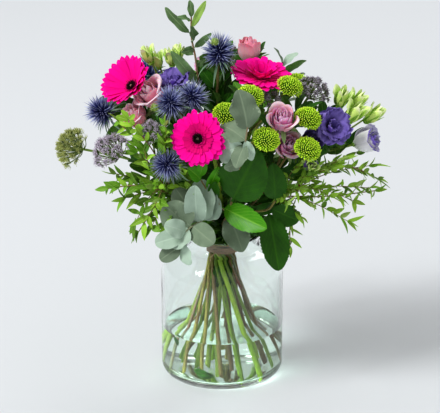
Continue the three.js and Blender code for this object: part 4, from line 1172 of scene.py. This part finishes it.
def blades(rows, paths, outline, fold=0.2, droop=0.12, wave=0.0, shape=(13, 7), look=None, stray=0.0,
           even=False):
    """Leaves from (base, tip, width): each base moves onto the nearest path. A leaf runs from base to tip,
    its half width by the outline, and turns its face away from the bouquet's middle, or the way it is told to
    look, give or take a stray part. Its halves fold up along the midrib by fold times the distance from it,
    and its middle arches by a parabola. Its rows stand closer at the ends, as one less a cosine, or
    evenly."""
    paths = np.concatenate(paths)
    base, tip = (np.array([row[i] for row in rows], float) for i in (0, 1))
    width = np.array([row[2] for row in rows], float)[:, None, None]
    base = paths[np.linalg.norm(paths[None] - base[:, None], axis=-1).argmin(1)]
    along = tip - base
    length = np.linalg.norm(along, axis=1)[:, None, None]
    along = unit(along)
    face = unit((base + tip) / 2 - OUTWARD_FROM) + (0, 0, 0.5) if look is None else np.array(look, float)
    face = face + stray * RNG.normal(size=(len(rows), 3))
    side = unit(np.cross(along, face))
    face = np.cross(side, along)
    s = np.linspace(0, 1, shape[0])[None, :, None]
    s = s if even else (1 - np.cos(np.pi * s)) / 2
    w = np.linspace(-1, 1, shape[1])[None, None, :]
    half = outline(s) * width / 2
    lean = np.arctan(fold * (1 + 0.4 * RNG.normal(size=(len(rows), 1, 1))))
    arch = droop * (1 + 0.5 * RNG.normal(size=(len(rows), 1, 1)))
    x = half * w * np.cos(lean)
    z = half * np.abs(w) * np.sin(lean) + arch * length * 2 * s * (1 - s)
    z = z + wave * half * np.sin(4 * np.pi * s + 6 * RNG.random((len(rows), 1, 1))) * w**2
    x, y, z = np.broadcast_arrays(x, length * s, z)
    side, face, along, base = (v[:, None, None] for v in (side, face, along, base))
    return base + x[..., None] * side + y[..., None] * along + z[..., None] * face


def two_kinds(leaves, kind, thick, first=1):
    """The leaves as sheets of two materials: those of the second kind take the material after the first."""
    grids = sheets(leaves[~kind], thick, first)
    if kind.any():
        grids += sheets(leaves[kind], thick, first + 1)
    return grids


def sprays(kind):
    """Every stem of one kind of foliage, with its name."""
    return [(stem, stem["name"]) for stem in stems if stem["name"].startswith(kind)]


WAXY = {"ribs": 9, "slope": 0.5, "rib_depth": 0.1}
eucalyptus_twig = stem_skin("eucalyptus_twig", "#8a7a5c", "#9aa182", "#9c6a4c")
silver_leaves = [
    leaf_skin("eucalyptus_leaf", ("#6e806a", "#8b9c84"), "#94a48c", "#95a68c", rough=0.6, patch=0.14, **WAXY),
    leaf_skin("eucalyptus_pale_leaf", ("#a6bcaa", "#bdd1bf"), "#b9cdbb", "#c0d4c2", rough=0.6, patch=0.1,
              **WAXY),
]
young_silver_leaves = [
    leaf_skin("eucalyptus_young_leaf", ("#5f7c56", "#7b9a64"), "#90a888", "#a0b888", rough=0.55, patch=0.3,
              **WAXY),
    leaf_skin("eucalyptus_newest_leaf", ("#86a850", "#a2c068"), "#a8c47c", "#a8c472", rough=0.5, patch=0.1),
]
# outline, wave, width
EUCALYPTUS_FORMS = {"eucalyptus_top": (oval, 0.38, 0.9), "eucalyptus_centre": (spear, 0.25, 1.1)}
for stem, name in sprays("eucalyptus"):
    look = None if name == "eucalyptus_back" else (-0.1, -1, 0.35)
    outline, wave, wide = EUCALYPTUS_FORMS.get(name, (silver_dollar, 0.12, 1))
    rows = [(base, tip, width * wide) for base, tip, width in stem["leaves"]]
    leaves = blades(rows, [stem["upper"], *stem["twigs"]], outline, fold=0.16 + wave / 4,
                    droop=0.1 + wave / 4, wave=wave, shape=(17, 9), look=look, stray=0.35)
    order = np.arange(len(leaves)) % 3
    pale = order != 0 if name == "eucalyptus_low" else order == 2
    skins = silver_leaves
    if name == "eucalyptus_top":
        heights = leaves[:, -1, 0, 2]
        # the leaf at the very top is the youngest
        pale, skins = heights == heights.max(), young_silver_leaves
    grids = stem_tubes(stem, 2.3, 1.0, 1.0) + two_kinds(leaves, pale, 0.6)
    grown(name + "_spray", name, grids, [eucalyptus_twig, *skins])

# ==== Salal ====
# Broad leathery dark green leaves with a fine saw-toothed edge and sunk ribs, glossy above and dull pale
# green beneath; the younger ones are bright green.
TEETH, TOOTH = 19, 0.11  # how many along a leaf, and how far they stand out in parts of its width


def saw_oval(s):
    """An oval half width whose edge carries small teeth that lean towards the tip."""
    return oval(s) * (1 + TOOTH * (1 - (s * TEETH) % 1) * np.clip(4 * (1 - s), 0, 1))


LEATHERY = {"ribs": 8, "slope": 0.45, "rough": 0.4}
salal_leaf = leaf_skin("salal_leaf", ("#1f5004", "#346c0a"), "#5f8a2c", "#3c7409", patch=0.2, coat=0.05,
                       **LEATHERY)
young_leaf = leaf_skin("young_green_leaf", ("#3f8e0a", "#5aa614"), "#7cb83c", "#86c040", patch=0.15,
                       rib_depth=0.4, coat=0.15, **LEATHERY)
YOUNG = {"salal_front": (1, 2, 3, 4)}  # the places of its young leaves in its list
for stem, name in sprays("salal"):
    look = None if name == "salal_back" else (0.1, -1, 0.3)
    leaves = blades(stem["leaves"], [stem["upper"], *stem["twigs"]], saw_oval, fold=0.22, wave=0.06,
                    shape=(58, 9), look=look, stray=0.15, even=True)
    young = np.isin(np.arange(len(leaves)), YOUNG.get(name, ()))
    grids = stem_tubes(stem, 2.4, 1.3, 1.1) + two_kinds(leaves, young, 0.55)
    grown(name + "_branch", name, grids, [woody_stem, salal_leaf, young_leaf])

# ==== Pistacia ====
# Fine sprays of narrow fresh green leaflets in pairs along red-brown stalks, light enough to stand clear of
# the rest. The left one also has a sprig of lime green leaflets in front of the roses.
# length, width, part that is light
LEAFLETS = {"pistacia_left": (19.0, 7.4, 0.3), "pistacia_right": (16.5, 5.6, 0.8)}
LIME_LEAFLETS = (16, 7)
PAIR_SPACING, BARE_START = 8.5, 0.25
SIDE_STEPS = 30
SIDE_SHOOTS = {  # (start, tip) of the lighter shoots between the main ones
    "pistacia_left": [
        ((-59, -76, 268), (-132, -70, 296)), ((-59, -76, 268), (-120, -80, 268)),
        ((-80, -92, 283), (-108, -85, 237)), ((-59, -76, 268), (-88, -95, 235)),
        ((-45, -55, 252), (-62, -104, 252)), ((-33, -35, 240), (-77, -104, 272)),
        ((-59, -76, 268), (-84, -110, 315)), ((-70, -90, 290), (-70, -114, 336)),
        ((-59, -76, 268), (-83, -110, 293)), ((-59, -76, 268), (-110, -66, 283)),
        ((-33, -60, 255), (-48, -114, 316)), ((-33, -50, 250), (-40, -110, 290)),
        ((-59, -76, 268), (-105, -90, 330)), ((-45, -55, 252), (-70, -60, 225)),
        ((-70, -90, 290), (-68, -120, 374)),
    ],
    "pistacia_right": [
        ((88, -62, 272), (184, -50, 300)), ((72, -58, 263), (186, -48, 270)),
        ((72, -58, 263), (158, -60, 230)), ((88, -62, 272), (134, -84, 271)),
        ((88, -62, 272), (165, -62, 258)), ((62, -44, 254), (96, -104, 285)),
        ((88, -62, 272), (110, -104, 304)), ((88, -62, 272), (133, -94, 310)),
        ((88, -62, 272), (150, -84, 320)), ((62, -44, 254), (97, -98, 250)),
        ((62, -44, 254), (80, -114, 275)), ((72, -64, 268), (102, -94, 322)),
        ((88, -62, 272), (170, -30, 310)), ((62, -44, 254), (118, -20, 290)),
    ],
}
LIME_SPRIG = smooth_curve([(-66, -92, 290), (-84, -110, 338), (-98, -119, 362), (-112, -120, 381)], 40)
LIME_BARE = 15


def leaflet_rows(route, long, wide):
    """Rows of (base, tip, width): pairs at even spacing along the outer part of a shoot, each turned about 50
    degrees from it to the left or right, and one leaflet straight on at its end."""
    length = np.linalg.norm(np.diff(route, axis=0), axis=1).sum()
    count = int(length * (1 - BARE_START) / PAIR_SPACING)
    at = ((BARE_START + (1 - BARE_START) * np.arange(count + 1) / count) * (len(route) - 1)).astype(int)
    base, along = route[at], unit(np.gradient(route, axis=0))[at]
    face = unit(base - OUTWARD_FROM)
    side = unit(np.cross(along, face))
    rows = []
    for hand in (-1, 1):
        turn = np.radians(48 + 20 * RNG.normal(size=(count + 1, 1)))
        stray = 0.45 * face * RNG.normal(size=(count + 1, 1))
        reach = along * np.cos(turn) + hand * side * np.sin(turn) + stray
        tip = base + reach * long * (0.5 + 0.6 * RNG.random((count + 1, 1)))
        rows += zip(base, tip, wide * (0.75 + 0.5 * RNG.random(count + 1)))
    return rows + [(base[-1], base[-1] + along[-1] * long, wide)]


pistacia_skins = [
    stem_skin("pistacia_twig", "#7a5a3c", "#8c8a48", "#8a3f30"),
    leaf_skin("pistacia_leaflet", ("#54841e", "#86b43c"), "#98b85c", "#a2c464", patch=0.35),
    leaf_skin("pistacia_fresh_leaflet", ("#7cac2c", "#a8d04c"), "#b2d074", "#c0da7c"),
]
for stem, name in sprays("pistacia"):
    long, wide, light = LEAFLETS[name]
    sides = [smooth_curve([start, np.add(start, tip) / 2 + (0, 0, 7), tip], SIDE_STEPS)
             for start, tip in SIDE_SHOOTS[name]]
    paths = [stem["upper"], *stem["twigs"], *sides]
    rows = [row for path in paths for row in leaflet_rows(path, long, wide)]
    grids = stem_tubes(stem, 2.2, 0.8, 0.8)
    for path in sides:
        grids += body(tube(path, np.linspace(0.7, 0.4, SIDE_STEPS), 6))
    leaflets = blades(rows, paths, lance, fold=0.25, droop=0.08, shape=(9, 5), stray=0.3)
    grids += two_kinds(leaflets, RNG.random(len(leaflets)) < light, 0.4)
    if name == "pistacia_left":
        rows = leaflet_rows(LIME_SPRIG[LIME_BARE:], *LIME_LEAFLETS)
        grids += body(tube(LIME_SPRIG, 0.7, 6))
        grids += sheets(blades(rows, [LIME_SPRIG], oval, look=(0.2, -1, 0.4)), 0.4, 2)
    grown(name + "_spray", name, grids, pistacia_skins)

# ==== Leaves on the flower stems ====
# The roses', buttons' and lisianthus's own dark leaves. The florist leaves them on above the tie, and they
# fill the inside of the bouquet, so that no bare stems show between the heads.
LEAVES_PER_STEM = 28
LEAFLESS = ("gerbera", "wild", "pistacia", "eucalyptus_top")
BARE_ROUTE = 42  # the part of a route below its first leaf
FRONT, HIGH_FRONT, HIGH = -66, -92, 312  # leaf tips stay behind FRONT, or above HIGH behind HIGH_FRONT
# No leaf tip is from behind a head to this far ahead of it, within this radius of its axis.
HEAD_BACK, HEAD_REACH, HEAD_ROOM = -6, 60, 21
VIEWER = np.array((0, -1.0, 0.2))
every_head = [head for row in FLOWERS.values() for head in row["heads"]]
HEAD_CENTRES = np.array([head[1] for head in every_head], float)
HEAD_FACINGS = np.array([facing(head) for head in every_head])
BEHIND_THE_TOP = [  # leaves that close the gap between the top thistle and the top gerbera
    ((0, -18, 372), (-16, -24, 424), 17), ((2, -18, 372), (6, -22, 430), 16),
    ((4, -18, 370), (24, -30, 410), 16), ((2, -20, 368), (-4, -40, 406), 17),
    ((4, -20, 360), (9, -46, 394), 17), ((0, -18, 350), (-20, -48, 386), 18),
    ((2, -20, 350), (8, -52, 378), 16), ((2, -20, 356), (32, -36, 388), 16),
    ((-4, -18, 372), (-31, -26, 431), 17),
]
# leaves that are caught in the tie and hang into the vase, and bits that have dropped into the water
SUNKEN = [
    ((-3, -9, 165), (-8, -15, 121), 13), ((4, -9, 165), (3, -16, 114), 14),
    ((0, -12, 165), (-2, -20, 128), 10), ((8, -8, 162), (9, -12, 122), 11),
    ((-36, -56, 24), (-15, -60, 17), 10), ((-30, -44, 13), (-10, -50, 13), 11),
    ((-52, -38, 50), (-58, -36, 62), 6),
]


def stem_leaf_rows(route, count):
    """Rows of (base, tip, width) along the outer part of a stem: the directions lean out from the axis and
    up, and go round the stem by the golden angle. None reaches in front of the low leaves at the bouquet's
    front, or hangs over a flower: a tip is left out where it is ahead of a head's centre and close to the
    head's axis or to the front."""
    at = np.linspace(0.04, 0.85, count)
    base = route[(at * (len(route) - 1)).astype(int)]
    bearing = GOLDEN_ANGLE * np.arange(count) + 6 * RNG.random()
    away = unit(base - OUTWARD_FROM)
    reach = unit(around(bearing) + 0.7 * away + 0.65 * UP)
    size = (32 + 20 * RNG.random((count, 1))) * (1 - 0.12 * at[:, None])
    tip = base + reach * size
    clear = (tip[:, 1] > FRONT) | ((tip[:, 2] > HIGH) & (tip[:, 1] > HIGH_FRONT))
    off = tip[:, None] - HEAD_CENTRES
    for look in (HEAD_FACINGS, VIEWER):
        ahead = (off * look).sum(-1)
        beside = np.linalg.norm(off - ahead[..., None] * look, axis=-1)
        clear &= ~((ahead > HEAD_BACK) & (ahead < HEAD_REACH) & (beside < HEAD_ROOM)).any(1)
    return list(zip(base[clear], tip[clear], 0.42 * size[clear, 0]))


stem_leaf = leaf_skin("dark_stem_leaf", ("#1d4a0c", "#3d7a1c"), "#6a9444", "#5c8c34", ribs=7, slope=0.4,
                      rough=0.42, patch=0.3, rib_depth=0.35)
fresh_leaf = leaf_skin("fresh_stem_leaf", ("#3f7a1c", "#6ca032"), "#86b050", "#86b44a", ribs=7, slope=0.4)
for stem in stems:
    if not stem["name"].startswith(LEAFLESS):
        above = stem["route"][BARE_ROUTE:]
        rows = stem_leaf_rows(above, LEAVES_PER_STEM)
        leaves = blades(rows, [above], oval, fold=0.25, droop=0.2, wave=0.1, stray=0.3)
        grids = two_kinds(leaves, np.arange(len(leaves)) % 4 == 1, 0.45, 0)
        grown(stem["name"] + "_leaves", None, grids, [stem_leaf, fresh_leaf])
top_stem = next(stem for stem in stems if stem["name"] == "thistle_stem_top")["upper"]
closing = blades(BEHIND_THE_TOP, [top_stem], oval, fold=0.3, droop=0.15, wave=0.15, look=(0, -1, 0.3),
                 stray=0.3)
grown("top_thistle_leaves", None, sheets(closing, 0.45), [stem_leaf])
starts = np.array([row[0] for row in SUNKEN])
sunken = blades(SUNKEN, [starts], oval, fold=0.3, droop=0.15, wave=0.2, look=(0, -1, 0.4))
grown("leaves_in_the_vase", None, sheets(sunken, 0.45), [stem_leaf])
